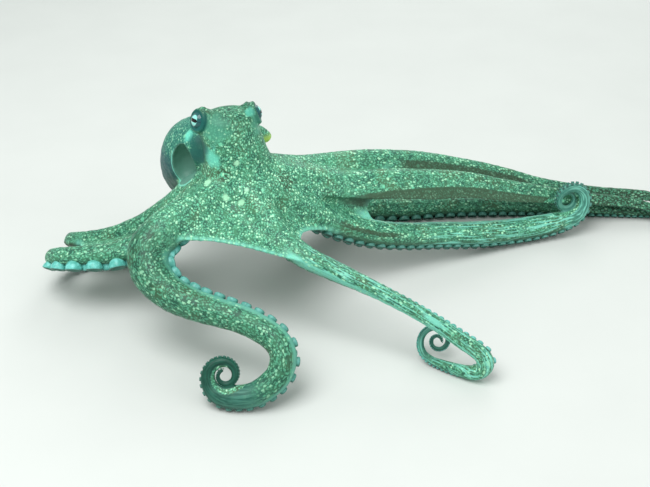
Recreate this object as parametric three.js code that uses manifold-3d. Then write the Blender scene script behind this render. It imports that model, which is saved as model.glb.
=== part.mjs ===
// A common octopus, crawling with its arms spread and its web stretched between them.
// Millimetres, +Z up. The animal faces -Y, its right side is at -X, and the floor is at Z = 0.
// The whole body is modelled from lofts and then parted by thin cuts into the named pieces.

import * as THREE from 'three';
import { mergeVertices } from 'three/addons/utils/BufferGeometryUtils.js';
import Module from 'manifold-3d';

const wasm = await Module();
wasm.setup();

// ---- driving dimensions -------------------------------------------------------------------

const GAP = 0.3;                    // clear cut between neighbouring pieces
const ORIGIN = [146.3, 12.1, 0];    // the floor point under the middle of the whole animal
const ARM_SIDES = 10;               // points round an arm's section
const ARM_STEP = 3.8;               // most distance between stations, in arm radii
const ARM_TURN = 0.4;               // most turn between stations, in radians
const CURL_STEP = 0.62;             // turn between stations of a curl, in radians
const FLAP_POINTS = [7, 3];         // the section's points that carry the flaps of web
const SECTION_WIDE = 0.92;          // an arm's half width, in arm radii
const SECTION_DEEP = 0.96;          // an arm's half depth, in arm radii
const SUCKER_PROUD = 0.16;          // how far the sucker band stands out, in arm radii
const WEB_THICK = 4.4;              // thickness of the web between two arms
const WEB_HEM = 2.2;                // thickness at the web's free edge
const CURL_RISE = -0.07;            // how far a curl climbs off its own plane, per length
const TAPER = 0.8;                  // how early the flesh thins in a curl
const STATION_CLEAR = 1;            // least distance from a length's end to its next station
const ROUTE_SAMPLES = 40;           // places looked at between two points of a route
const CURL_FOLLOW = 0.35;           // how fast a curl's heading settles to its own slope
const ORAL_FOLLOW = 0.3;            // how fast the suckers turn to the outside of a curl
const BAND_FROM = 0.4;              // where the sucker band starts, as a part of the half depth
const ROOT_OVERLAP = 8;             // how far the crown's flesh reaches past where an arm comes free
const WEB_ACROSS = 3;               // panels of a web from arm to arm
const WEB_ALONG = 5;                // panels of a web from the crown to its free edge
const ANGLE_SLACK = 1e-6;           // radians left over that are too few for a step
const WELD = 1e-4;                  // points closer than this are one point
const FLOOR_BLOCK = [2000, 2000, 200];   // the block under the floor that trims the whole body

const v = (x, y, z) => new THREE.Vector3(x, y, z);

// Each arm: its route from the crown outwards as [x, y, z, radius], the way its suckers face at
// points spread along it, the run where it comes free of the crown and the runs where it is cut
// into lengths, the flaps of web along its two sides with how far they lift, and the curl at its
// tip, which is worked out by turning the heading through a shrinking bend.
const ARMS = {
  right_1: {
    route: [
      [-14, -6, 114, 17], [-38, -26, 106, 18], [-62, -46, 98, 19], [-76, -63, 86, 19.5],
      [-73, -78, 74, 18.5], [-58, -92, 64, 16], [-39, -104, 61, 14.5], [-17, -113, 59, 13.2],
      [4, -121, 57, 12.4], [22, -130, 53, 12.1], [35, -139, 47, 12.1], [40, -147, 39, 12],
      [37, -155, 28, 11.6], [27, -161, 19, 11.2], [14, -164, 12.5, 10.8], [-2, -164, 10, 10.3],
    ],
    suckers: [[0.3, 0.3, -1], [1, 0.2, -0.35], [0.1, 0.85, 0.5], [0.9, 0.3, -0.1], [0, -0.3, -1]],
    free: 92,
    cuts: [185, 300],
    flap: [[0, 0], [0, 0]],
    lift: 0,
    curl: { normal: [0.05, 0.84, -0.54], turn: 560, bend: [18, 3.9], flesh: 1.5 },
  },
  left_1: {
    route: [
      [8, -10, 115, 16], [18, -28, 104, 15], [34, -45, 90, 13], [52, -58, 80, 11.4],
      [77, -72, 74, 9.6], [102, -84, 68, 8.1], [127, -96, 61, 7.2], [152, -107, 52, 6.8],
      [172, -116, 43, 7], [189, -121, 32.5, 7.4], [197, -124.5, 28.5, 7.6], [203.5, -127.5, 24, 7.7],
      [206, -130.5, 18.6, 7.7], [203.5, -131, 11.6, 7.5], [197, -129.5, 7.6, 6.9], [187, -125, 6.2, 5.8],
      [176, -118.5, 5.6, 4.8], [165.5, -111.5, 5.2, 3.9],
    ],
    suckers: [[0, 0.5, -1], [0.1, 0.9, -0.3], [0.4, 0.9, 0.2], [0.7, 0.4, 0.3], [0, -0.4, -1]],
    free: 84,
    cuts: [170, 236],
    flap: [[3, 0], [2.5, 0], [1, 0], [0, 0]],
    lift: 0,
    curl: { normal: [0, 0.8, -0.6], turn: 660, bend: [17.2, 2.7], flesh: 1.4 },
  },
  right_2: {
    route: [
      [-12, 4, 117, 16], [-43, -2, 101, 15.2], [-70, -12, 80, 13.4], [-93, -20, 66, 11.4],
      [-116, -24, 58.5, 9.8], [-138, -25, 57, 9.2], [-159, -20, 53, 8.8], [-176, -6, 43, 8.4],
      [-181, 13, 28, 7.8], [-170, 32, 13, 7.2], [-150, 43, 6.8, 6.4],
      [-128, 47, 5.4, 5.6], [-106, 48, 4.6, 4.9],
    ],
    suckers: [[0, -0.2, -1], [0.2, -0.3, -1], [0, -0.3, -1], [0, 0, -1]],
    free: 80,
    cuts: [165, 250],
    flap: [[4, 0], [3, 0], [1, 0], [0, 0]],
    lift: 0.2,
    curl: { normal: [0, 0, -1], turn: 400, bend: [15, 5], flesh: 1.3 },
  },
  right_3: {
    route: [
      [-12, 14, 119, 16], [-40, 20, 103, 15], [-68, 24, 81, 12.5], [-96, 29, 59, 10.4],
      [-124, 33, 44, 9.4], [-150, 38, 35, 9], [-171, 49, 27, 8.4], [-177, 65, 18, 7.5],
      [-166, 80, 10, 6.8], [-143, 88, 6, 6], [-116, 92, 4.9, 5], [-90, 99, 3.7, 3.9],
    ],
    suckers: [[0, 0, -1], [0, -0.2, -1], [0, 0, -1]],
    free: 84,
    cuts: [170, 250],
    flap: [[0, 4], [0, 3], [0, 1], [0, 0]],
    lift: 0.2,
    curl: { normal: [0, 0, 1], turn: 400, bend: [17, 5], flesh: 1.3, rise: 0.04 },
  },
  right_4: {
    route: [
      [5, 28, 116, 16], [24, 56, 88, 16], [56, 92, 52, 15], [99, 122, 24, 13.5],
      [152, 138, 12.2, 12], [206, 145, 10.4, 10.6], [260, 147, 9.2, 9.4], [313, 146, 8.2, 8.4],
      [367, 144, 7, 7.2], [415, 141, 5.4, 5.6], [446, 141, 4.2, 4.4], [466, 140, 3.6, 3.8],
    ],
    suckers: [[0, -0.3, -1], [0, -0.5, -1], [0, -0.4, -1]],
    free: 78,
    cuts: [250, 430],
    flap: [[2, 2], [2, 2], [0, 0]],
    lift: 0.2,
    curl: { normal: [0, 0, 1], turn: 400, bend: [12, 4.5], flesh: 1.3, rise: 0.04 },
  },
  left_2: {
    route: [
      [22, -2, 115, 16], [50, 4, 92, 15.3], [82, 14, 68, 14], [115, 26, 50, 13.2],
      [150, 42, 37, 13], [186, 58, 28, 13.2], [223, 72, 20, 13.4], [258, 86, 14.4, 13.2],
      [286, 96, 12.8, 12.9], [310, 102.5, 14.6, 11.6], [324, 106, 17.4, 10.2],
    ],
    suckers: [[0, -0.4, -1], [0, -0.7, -1], [0, -0.7, -1]],
    free: 118,
    cuts: [215, 330],
    flap: [[3, 4], [3, 4], [2, 3], [0, 0]],
    lift: 0.8,
    curl: { normal: [0.3, -0.95, 0.1], turn: 600, bend: [19.8, 5], flesh: 1.5 },
  },
  left_3: {
    route: [
      [24, 12, 118, 16], [55, 24, 107, 14.6], [92, 38, 96, 13], [130, 54, 91, 11.4],
      [169, 70, 84, 9.6], [211, 86, 74, 8.3], [254, 104, 57, 7.2], [299, 121, 41, 6.4],
      [350, 131, 28, 5.9], [402, 134, 19.5, 5.1], [430, 124, 12, 4.4],
      [448, 107, 5.4, 4], [452, 93, 3.8, 3.6],
    ],
    suckers: [[0, -0.1, -1], [0, -0.1, -1], [0, 0, -1]],
    free: 134,
    cuts: [255, 390],
    flap: [[4, 3], [8, 3], [16, 3], [13, 3], [4, 2], [1, 1], [0, 0]],
    lift: -0.8,
    curl: { normal: [0, 0, -1], turn: 380, bend: [11, 4.5], flesh: 1.2 },
  },
  left_4: {
    route: [
      [22, 24, 119, 16], [50, 42, 110, 13.9], [87, 62, 105, 12.3], [126, 84, 97, 10.7],
      [167, 104, 86, 9.4], [210, 122, 71, 8.1], [254, 136, 55, 7.2], [299, 145, 38, 6.3],
      [355, 150, 26, 5.7], [409, 153, 20, 5.2], [436, 160, 12, 4.5], [452, 171, 5.2, 4], [458, 182, 3.8, 3.6],
    ],
    suckers: [[0, -0.1, -1], [0, -0.1, -1], [0, 0, -1]],
    free: 142,
    cuts: [265, 395],
    flap: [[4, 3], [7, 3], [5, 2], [0, 0]],
    lift: -0.7,
    curl: { normal: [0, 0, 1], turn: 380, bend: [10, 4.5], flesh: 1.2, rise: 0.04 },
  },
};

// ---- arms: stations and lofts --------------------------------------------------------------

const mix = (a, b, t) => a + (b - a) * t;

// A value read off a list of evenly spread keys.
function keyed(keys, t) {
  const x = Math.min(Math.max(t, 0), 1) * (keys.length - 1);
  const i = Math.min(Math.floor(x), keys.length - 2);
  return keys[i].map((a, k) => mix(a, keys[i + 1][k], x - i));
}

// The arm as a list of stations: place, heading, the way the suckers face, radius, and length run.
function stationsOf(arm) {
  const curve = new THREE.CatmullRomCurve3(arm.route.map((p) => v(p[0], p[1], p[2])), false, 'centripetal');
  const radii = arm.route.map((p) => [p[3]]);
  const flaps = arm.flap;
  const stations = [];
  const fine = ROUTE_SAMPLES * (arm.route.length - 1);
  let run = 0;
  let last = curve.getPoint(0);
  for (let i = 0; i <= fine; i++) {
    const t = i / fine;
    const place = curve.getPoint(t);
    run += place.distanceTo(last);
    last = place;
    const radius = keyed(radii, t)[0];
    const heading = curve.getTangent(t);
    const before = stations[stations.length - 1];
    const needed = !before || i === fine || run > before.run + ARM_STEP * radius
      || heading.angleTo(before.heading) > ARM_TURN;
    if (!needed) continue;
    const oral = v(...keyed(arm.suckers, t));
    stations.push({ place, heading, radius, run, oral, flap: keyed(flaps, t), lift: arm.lift });
  }
  for (const s of stations) squareUp(s);
  addCurl(stations, arm.curl);
  return stations;
}

function squareUp(station) {
  station.oral.addScaledVector(station.heading, -station.oral.dot(station.heading)).normalize();
}

// The curl: the heading turns about one axis while the bend radius and the flesh shrink together.
function addCurl(stations, curl) {
  const end = stations[stations.length - 1];
  const axis = v(...curl.normal).normalize();
  const turn = THREE.MathUtils.degToRad(curl.turn);
  const place = end.place.clone();
  const heading = end.heading.clone();
  const oral = end.oral.clone();
  let run = end.run;
  let turned = 0;
  while (turned < turn - ANGLE_SLACK) {
    const part = turned / turn;
    const bend = curl.bend[0] * Math.pow(curl.bend[1] / curl.bend[0], part);
    const step = Math.min(CURL_STEP, turn - turned);
    turned += step;
    const slide = step * bend;
    heading.applyAxisAngle(axis, step / 2);
    const climb = (curl.rise ?? CURL_RISE) - heading.dot(axis);
    heading.addScaledVector(axis, climb * CURL_FOLLOW).normalize();
    place.addScaledVector(heading, slide);
    heading.applyAxisAngle(axis, step / 2);
    oral.applyAxisAngle(axis, step);
    const outward = new THREE.Vector3().crossVectors(heading, axis);
    oral.lerp(outward, ORAL_FOLLOW);
    run += slide;
    const after = end.radius * Math.pow(curl.flesh / end.radius, Math.min(turned / turn, 1) ** TAPER);
    const station = { place: place.clone(), heading: heading.clone(), radius: after, run };
    stations.push({ ...station, oral: oral.clone(), flap: [0, 0], lift: 0 });
    squareUp(stations[stations.length - 1]);
    oral.copy(stations[stations.length - 1].oral);
  }
}

// One section of an arm: a rounded back, and a flatter band of suckers opposite.
function sectionOf(station, extra) {
  const side = new THREE.Vector3().crossVectors(station.heading, station.oral);
  const points = [];
  for (let i = 0; i < ARM_SIDES; i++) {
    const angle = (i / ARM_SIDES) * 2 * Math.PI;
    const across = Math.sin(angle);
    const out = -Math.cos(angle);
    const proud = out > BAND_FROM ? 1 + SUCKER_PROUD : 1;
    const edge = FLAP_POINTS.indexOf(i);
    const flap = edge < 0 ? 0 : station.flap[edge];
    points.push(station.place.clone()
      .addScaledVector(side, across * (station.radius * SECTION_WIDE + extra + flap))
      .addScaledVector(station.oral, out * (station.radius * SECTION_DEEP * proud + extra))
      .addScaledVector(station.oral, -flap * station.lift));
  }
  return points;
}

// A closed body through rings of points that all have the same count.
function loft(rings) {
  const count = rings[0].length;
  const positions = [];
  const index = [];
  for (const ring of rings) for (const p of ring) positions.push(p.x, p.y, p.z);
  for (let r = 0; r + 1 < rings.length; r++) {
    for (let i = 0; i < count; i++) {
      const a = r * count + i;
      const b = r * count + ((i + 1) % count);
      index.push(a, b, a + count, b, b + count, a + count);
    }
  }
  const caps = [[0, true], [rings.length - 1, false]];
  for (const [r, first] of caps) {
    const middle = rings[r].reduce((sum, p) => sum.add(p), v(0, 0, 0)).divideScalar(count);
    const m = positions.length / 3;
    positions.push(middle.x, middle.y, middle.z);
    for (let i = 0; i < count; i++) {
      const a = r * count + i;
      const b = r * count + ((i + 1) % count);
      if (first) index.push(m, b, a);
      else index.push(m, a, b);
    }
  }
  const geometry = new THREE.BufferGeometry();
  geometry.setAttribute('position', new THREE.Float32BufferAttribute(positions, 3));
  geometry.setIndex(index);
  return geometry;
}

// ---- solids --------------------------------------------------------------------------------

// Six times the volume inside a mesh: below zero where its faces point inwards.
function signedVolume(points, triangles) {
  const corner = (k) => new THREE.Vector3().fromArray(points, 3 * triangles[k]);
  let sum = 0;
  for (let k = 0; k < triangles.length; k += 3) {
    sum += corner(k).dot(corner(k + 1).cross(corner(k + 2)));
  }
  return sum;
}

function toSolid(geometry) {
  const bare = geometry.clone();
  bare.deleteAttribute('normal');
  bare.deleteAttribute('uv');
  const merged = mergeVertices(bare, WELD);
  const points = new Float32Array(merged.attributes.position.array);
  const triangles = new Uint32Array(merged.index.array);
  if (signedVolume(points, triangles) < 0) triangles.reverse();
  return new wasm.Manifold(new wasm.Mesh({ numProp: 3, vertProperties: points, triVerts: triangles }));
}

const armStations = {};
for (const [name, arm] of Object.entries(ARMS)) armStations[name] = stationsOf(arm);

// Stations with one put exactly at each end of the wanted length.
function stretch(name, from, to) {
  const all = armStations[name];
  const at = (run) => {
    const k = all.findIndex((s) => s.run >= run);
    if (k < 0) return all[all.length - 1];
    if (k === 0) return all[0];
    const [a, b] = [all[k - 1], all[k]];
    const t = (run - a.run) / (b.run - a.run);
    const station = { run, radius: mix(a.radius, b.radius, t), lift: a.lift };
    station.flap = a.flap.map((width, side) => mix(width, b.flap[side], t));
    for (const key of ['place', 'heading', 'oral']) station[key] = a[key].clone().lerp(b[key], t);
    station.heading.normalize();
    squareUp(station);
    return station;
  };
  const inside = all.filter((s) => s.run > from + STATION_CLEAR && s.run < to - STATION_CLEAR);
  return [at(from), ...inside, at(to)];
}

function armSolid(name, from, to, extra = 0) {
  return toSolid(loft(stretch(name, from, to).map((s) => sectionOf(s, extra))));
}

// A thin sheet with a top and a bottom face, from a function of (across, along), both 0 to 1.
function sheet(surface, across, along, thickness) {
  const grid = [];
  for (let j = 0; j <= along; j++) {
    for (let i = 0; i <= across; i++) grid.push(surface(i / across, j / along));
  }
  const at = (i, j) => grid[j * (across + 1) + i];
  const positions = [];
  for (const sign of [0.5, -0.5]) {
    for (let j = 0; j <= along; j++) {
      for (let i = 0; i <= across; i++) {
        const du = at(Math.min(i + 1, across), j).clone().sub(at(Math.max(i - 1, 0), j));
        const dv = at(i, Math.min(j + 1, along)).clone().sub(at(i, Math.max(j - 1, 0)));
        const normal = du.cross(dv).normalize();
        const p = at(i, j).clone().addScaledVector(normal, sign * thickness(j / along));
        positions.push(p.x, p.y, p.z);
      }
    }
  }
  const size = (across + 1) * (along + 1);
  const top = (i, j) => j * (across + 1) + i;
  const low = (i, j) => size + top(i, j);
  const index = [];
  const quad = (a, b, c, d) => index.push(a, b, c, a, c, d);
  for (let j = 0; j < along; j++) {
    for (let i = 0; i < across; i++) {
      quad(top(i, j), top(i + 1, j), top(i + 1, j + 1), top(i, j + 1));
      quad(low(i, j), low(i, j + 1), low(i + 1, j + 1), low(i + 1, j));
    }
    quad(top(0, j), top(0, j + 1), low(0, j + 1), low(0, j));
    quad(top(across, j), low(across, j), low(across, j + 1), top(across, j + 1));
  }
  for (let i = 0; i < across; i++) {
    quad(top(i, 0), low(i, 0), low(i + 1, 0), top(i + 1, 0));
    quad(top(i, along), top(i + 1, along), low(i + 1, along), low(i, along));
  }
  const geometry = new THREE.BufferGeometry();
  geometry.setAttribute('position', new THREE.Float32BufferAttribute(positions, 3));
  geometry.setIndex(index);
  return geometry;
}

// ---- the web between two arms --------------------------------------------------------------

// Each web: its name, the two arms it joins, how far out along each it reaches, how deep its free edge
// is cut in between them, and how far it sags, as [x, y, z].
const WEBS = [
  { name: 'front', arms: ['right_1', 'left_1'], reach: [82, 106], scoop: 0.24, sag: [0, -12, 6] },
  { name: 'left_front', arms: ['left_1', 'left_2'], reach: [86, 104], scoop: 0.42, sag: [0, -6, 0] },
  { name: 'left', arms: ['left_2', 'left_3'], reach: [148, 146], scoop: 0.3, sag: [0, 0, 0] },
  { name: 'left_rear', arms: ['left_3', 'left_4'], reach: [168, 166], scoop: 0.3, sag: [0, 0, -2] },
  { name: 'rear', arms: ['left_4', 'right_4'], reach: [168, 150], scoop: 0.34, sag: [0, 4, 0] },
  { name: 'right_rear', arms: ['right_4', 'right_3'], reach: [96, 92], scoop: 0.4, sag: [0, 4, 0] },
  { name: 'right', arms: ['right_3', 'right_2'], reach: [186, 180], scoop: 0.08, sag: [0, 0, -2] },
  { name: 'right_front', arms: ['right_2', 'right_1'], reach: [128, 104], scoop: 0.3, sag: [-4, 0, 0] },
];
const WEB_START = 14;

function placeAt(name, run) {
  const all = armStations[name];
  const k = Math.max(1, all.findIndex((s) => s.run >= run));
  const [a, b] = [all[k - 1], all[k]];
  return a.place.clone().lerp(b.place, (run - a.run) / (b.run - a.run));
}

function webSolid(web) {
  const surface = (u, t) => {
    const bow = 4 * u * (1 - u);
    const out = t * (1 - web.scoop * bow);
    const a = placeAt(web.arms[0], mix(WEB_START, web.reach[0], out));
    const b = placeAt(web.arms[1], mix(WEB_START, web.reach[1], out));
    return a.lerp(b, u).addScaledVector(v(...web.sag), bow * t);
  };
  return toSolid(sheet(surface, WEB_ACROSS, WEB_ALONG, (t) => mix(WEB_THICK, WEB_HEM, t)));
}

// ---- head, mantle, funnel and eyes ---------------------------------------------------------

const EYE_AXIS = v(0.94, 0.34, 0);                 // from the right eye to the left
const EYES = { right: v(-33.5, 4.5, 175.5), left: v(9.5, 20.5, 174.5) };
const SOCKET_SHIFT = 5;                            // the swelling sits this far in from the eyeball
const EYE_RADIUS = 8.6;
const HEAD_SIDES = 14;
const EYE_SOCKET = 11.8;                           // the flesh that swells round each eye
const HEAD_RINGS = [                               // x, y, z, half width, half depth
  [-1, 8, 104, 33, 27], [-2, 10, 122, 32, 26], [-5, 12, 140, 30, 25],
  [-9, 13, 156, 28, 24], [-11, 12, 169, 25, 22], [-11, 12, 179, 19, 17], [-11, 12, 184, 9, 8],
];
const MANTLE_RINGS = [                             // x, y, z, radius along the mantle's own line
  [-21, 30, 140, 25], [-33, 42, 132, 29.5], [-44, 60, 116, 36], [-50, 82, 94, 36],
  [-53, 100, 73, 29], [-54, 110, 57, 16], [-54, 113, 50, 5],
];
const MANTLE_MOUTH = { place: v(-54, 25, 123), size: [13, 14, 19] };
const FUNNEL_RINGS = [[-12, 34, 148, 13], [6, 40, 147, 11], [16, 42, 144, 8.5], [24, 43, 138, 6.5]];
const FUNNEL_BORE = 4;
const HEAD_TOP = 150;                              // rings above this height also rise when swollen
const SOCKET_OFFSET = v(0, 1, -2);
const SOCKET_TALL = 1.05;                          // a socket's height, in its own radii
const HUB = { place: v(0, 8, 110), size: [40, 33, 20] };            // the flesh where all arms meet
const BALL_FACETS = { hub: [12, 6], socket: [10, 5], eye: [12, 7], mouth: [16, 10] };
const SAC_SIDES = { mantle: 16, funnel: 14, bore: 10 };

// A stretched ball. facets are its sides round and its rows from top to bottom.
function ellipsoid(center, size, facets) {
  const geometry = new THREE.SphereGeometry(1, ...facets);
  geometry.scale(...size);
  geometry.translate(center.x, center.y, center.z);
  return geometry;
}

function headSolid(extra) {
  const depth = new THREE.Vector3().crossVectors(v(0, 0, 1), EYE_AXIS).normalize();
  const along = EYE_AXIS.clone().normalize();
  const rings = HEAD_RINGS.map(([x, y, z, wide, deep]) => {
    const ring = [];
    for (let i = 0; i < HEAD_SIDES; i++) {
      const angle = (i / HEAD_SIDES) * 2 * Math.PI;
      ring.push(v(x, y, z + (z > HEAD_TOP ? extra : 0))
        .addScaledVector(along, Math.cos(angle) * (wide + extra))
        .addScaledVector(depth, Math.sin(angle) * (deep + extra)));
    }
    return ring;
  });
  let head = toSolid(loft(rings));
  for (const [side, eye] of Object.entries(EYES)) {
    const r = EYE_SOCKET + extra;
    const inward = side === 'right' ? SOCKET_SHIFT : -SOCKET_SHIFT;
    const center = eye.clone().addScaledVector(along, inward).add(SOCKET_OFFSET);
    head = head.add(toSolid(ellipsoid(center, [r, r, r * SOCKET_TALL], BALL_FACETS.socket)));
  }
  return head;
}

// A round body through rings that stand square to the line between them.
function sacRings(rings, extra, sides) {
  const curve = new THREE.CatmullRomCurve3(rings.map((r) => v(r[0], r[1], r[2])), false, 'centripetal');
  return rings.map((ring, k) => {
    const heading = curve.getTangent(k / (rings.length - 1));
    const flat = new THREE.Vector3().crossVectors(heading, v(0, 0, 1)).normalize();
    const up = new THREE.Vector3().crossVectors(flat, heading).normalize();
    const points = [];
    for (let i = 0; i < sides; i++) {
      const angle = (i / sides) * 2 * Math.PI;
      points.push(v(ring[0], ring[1], ring[2])
        .addScaledVector(flat, Math.cos(angle) * (ring[3] + extra))
        .addScaledVector(up, Math.sin(angle) * (ring[3] + extra)));
    }
    return points;
  });
}

function mantleSolid(extra) {
  const sac = toSolid(loft(sacRings(MANTLE_RINGS, extra, SAC_SIDES.mantle)));
  if (extra > 0) return sac;
  return sac.subtract(toSolid(ellipsoid(MANTLE_MOUTH.place, MANTLE_MOUTH.size, BALL_FACETS.mouth)));
}

function funnelSolid(extra) {
  const tube = toSolid(loft(sacRings(FUNNEL_RINGS, extra, SAC_SIDES.funnel)));
  if (extra > 0) return tube;
  const bore = FUNNEL_RINGS.slice(2).map((r) => [r[0], r[1], r[2], FUNNEL_BORE]);
  const [from, to] = [v(...bore[0]), v(...bore[1])];
  const past = to.clone().add(to.clone().sub(from));
  bore.push([past.x, past.y, past.z, FUNNEL_BORE]);
  return tube.subtract(toSolid(loft(sacRings(bore, 0, SAC_SIDES.bore))));
}

function eyeSolid(side, extra) {
  const r = EYE_RADIUS + extra;
  return toSolid(ellipsoid(EYES[side], [r, r, r], BALL_FACETS.eye));
}

// ---- cutting the body into its pieces ------------------------------------------------------

const ARM_NAMES = Object.keys(ARMS);
const lengthOf = (name) => armStations[name][armStations[name].length - 1].run;

function join(solids) {
  return solids.reduce((all, one) => all.add(one));
}

function biggest(solid) {
  return solid.decompose().reduce((best, one) => (one.volume() > best.volume() ? one : best));
}

const below = toSolid(new THREE.BoxGeometry(...FLOOR_BLOCK).translate(0, 0, -FLOOR_BLOCK[2] / 2));

function finish(solid) {
  return biggest(solid.subtract(below));
}

// extra swells a body on all sides, which leaves a clear cut when it is taken from its neighbour.
const freeArms = join(ARM_NAMES.map((name) => armSolid(name, ARMS[name].free, lengthOf(name), GAP)));
const rootEnd = (name) => ARMS[name].free + ROOT_OVERLAP;
const rootArms = (extra) => join(ARM_NAMES.map((name) => armSolid(name, 0, rootEnd(name), extra)));
const hub = (extra) => toSolid(ellipsoid(HUB.place, HUB.size.map((half) => half + extra), BALL_FACETS.hub));
const core = hub(GAP).add(rootArms(GAP)).add(freeArms).add(headSolid(GAP)).add(mantleSolid(GAP));

const pieces = {};
pieces.crown = hub(0).add(rootArms(0)).subtract(freeArms).subtract(headSolid(GAP));
for (const web of WEBS) pieces[`web_${web.name}`] = webSolid(web).subtract(core);
pieces.head = headSolid(0);
for (const side of ['right', 'left']) {
  pieces[`eye_${side}`] = eyeSolid(side, 0);
  pieces.head = pieces.head.subtract(eyeSolid(side, GAP));
}
pieces.mantle = mantleSolid(0).subtract(headSolid(GAP)).subtract(rootArms(GAP)).subtract(hub(GAP));
pieces.funnel = funnelSolid(0).subtract(headSolid(GAP)).subtract(mantleSolid(GAP));
const LENGTHS = ['base', 'middle', 'tip'];
for (const name of ARM_NAMES) {
  const marks = [ARMS[name].free, ...ARMS[name].cuts, lengthOf(name)];
  LENGTHS.forEach((part, k) => {
    const from = marks[k] + (k > 0 ? GAP / 2 : 0);
    const to = marks[k + 1] - (k < 2 ? GAP / 2 : 0);
    pieces[`arm_${name}_${part}`] = armSolid(name, from, to);
  });
}

// ---- the scene graph -----------------------------------------------------------------------

const FLESH = { color: 0x8a9a78, roughness: 0.55, metalness: 0 };
const PALE = { color: 0xb9c9b0, roughness: 0.5, metalness: 0 };
const MANTLE_FLESH = { color: 0x6f8a86, roughness: 0.5, metalness: 0 };
const EYE = { color: 0x20242a, roughness: 0.1, metalness: 0 };
const YELLOW = { color: 0xc9cf7a, roughness: 0.5, metalness: 0 };

function finishOf(name) {
  if (name.startsWith('eye')) return EYE;
  if (name === 'mantle') return MANTLE_FLESH;
  if (name === 'funnel') return YELLOW;
  return name.endsWith('tip') ? PALE : FLESH;
}

function toGeometry(solid) {
  const mesh = solid.getMesh();
  const geometry = new THREE.BufferGeometry();
  geometry.setAttribute('position', new THREE.Float32BufferAttribute(mesh.vertProperties, 3));
  geometry.setIndex(Array.from(mesh.triVerts));
  geometry.computeVertexNormals();
  return geometry;
}

const group = new THREE.Group();
for (const [name, solid] of Object.entries(pieces)) {
  const mesh = new THREE.Mesh(toGeometry(finish(solid)), new THREE.MeshStandardMaterial(finishOf(name)));
  mesh.name = name;
  mesh.position.set(-ORIGIN[0], -ORIGIN[1], -ORIGIN[2]);
  group.add(mesh);
}

export default group;
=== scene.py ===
# %% [markdown]
# # A common octopus, crawling
# This lesson dresses a imported frame of solids as a living animal. The frame gives the true size
# and place of every arm, so the first step only loads it.

# %% Load the frame
import math

import bpy
import numpy as np
from mathutils import Matrix, Vector, noise
from mathutils.kdtree import KDTree


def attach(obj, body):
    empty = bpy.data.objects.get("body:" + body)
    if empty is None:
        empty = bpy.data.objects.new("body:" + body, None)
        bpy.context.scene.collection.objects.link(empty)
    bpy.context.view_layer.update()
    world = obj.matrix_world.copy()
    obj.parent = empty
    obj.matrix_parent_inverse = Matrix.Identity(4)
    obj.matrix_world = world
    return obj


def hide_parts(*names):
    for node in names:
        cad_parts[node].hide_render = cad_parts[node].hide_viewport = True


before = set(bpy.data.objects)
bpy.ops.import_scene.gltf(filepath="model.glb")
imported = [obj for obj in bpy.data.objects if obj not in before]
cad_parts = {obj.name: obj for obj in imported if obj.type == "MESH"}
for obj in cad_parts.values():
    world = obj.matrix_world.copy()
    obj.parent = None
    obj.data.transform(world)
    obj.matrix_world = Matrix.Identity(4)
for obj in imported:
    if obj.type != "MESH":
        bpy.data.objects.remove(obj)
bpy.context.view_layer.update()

# %% [markdown]
# ## Units
# The animal was drawn in millimetres from a point under its head. The frame is in metres from the
# middle of its whole box. One small function carries a drawn point into the frame, so that every
# number below stays a plain size in millimetres.

# %% Millimetres and the drawing's origin
MM = 0.001
ORIGIN = np.array([146.3, 12.1, 0.0])       # the box's middle, seen from the drawing's origin


def to_frame(points):
    """Points in drawn millimetres as points in the frame, in metres."""
    return (np.asarray(points, float) - ORIGIN) * MM


print("drawing origin sits at", to_frame([0, 0, 0]).round(4), "m in the frame")

# %% [markdown]
# ## The stage
# A museum would show the model on a pale table under soft light. The camera looks down on it from
# the front and a little above. A long lens keeps the near arm from looking too big. The view
# transform is set to Standard so that a colour on the skin comes out as the colour that was picked.

# %% Camera, floor and lights
CAMERA_PLACE = (73.0, -780.0, 541.2)         # millimetres in the drawing
CAMERA_DOWN = 32.0                            # degrees below level
SENSOR_WIDE = 36.0
FOCAL = 1000.0                                # focal length in image pixels
IMAGE_WIDE = 650
FLOOR_WIDE = 6.0                  # metres
FLOOR_CELLS = 8
LAMPS = [                         # name, place, the point it faces, its width in metres, its watts
    ("key_lamp", (-0.5, -0.5, 1.5), (-0.05, 0, 0.05), 1.1, 21),
    ("fill_lamp", (1.4, -0.9, 0.9), (0.05, 0, 0.05), 1.2, 6),
    ("back_lamp", (0.3, 1.4, 1.1), (0, 0, 0.05), 1.0, 7),
]

scene = bpy.context.scene
scene.view_settings.view_transform = "Standard"
camera = bpy.data.objects.new("camera", bpy.data.cameras.new("camera"))
camera.data.sensor_width = SENSOR_WIDE
camera.data.lens = SENSOR_WIDE * FOCAL / IMAGE_WIDE
camera.location = Vector(to_frame(CAMERA_PLACE))
camera.rotation_euler = (math.radians(90 - CAMERA_DOWN), 0, 0)
scene.collection.objects.link(camera)
scene.camera = camera

bpy.ops.mesh.primitive_grid_add(x_subdivisions=FLOOR_CELLS, y_subdivisions=FLOOR_CELLS, size=FLOOR_WIDE)
floor = bpy.context.object
floor.name = "floor"

for name, place, target, wide, watts in LAMPS:
    lamp = bpy.data.objects.new(name, bpy.data.lights.new(name, "AREA"))
    lamp.data.size = wide
    lamp.data.energy = watts
    lamp.location = place
    lamp.rotation_euler = (Vector(target) - Vector(place)).to_track_quat("-Z", "Y").to_euler()
    scene.collection.objects.link(lamp)
print("camera lens:", round(camera.data.lens, 2), "mm, lamps:", len(LAMPS))

# %% [markdown]
# ## Colour and nodes
# Colours are written as the hex values that an eye would pick, which are sRGB. Blender's nodes
# work in linear light, so one function converts them. A second one adds a node, sets it up and
# links it, and every material below is made with it alone.

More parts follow.
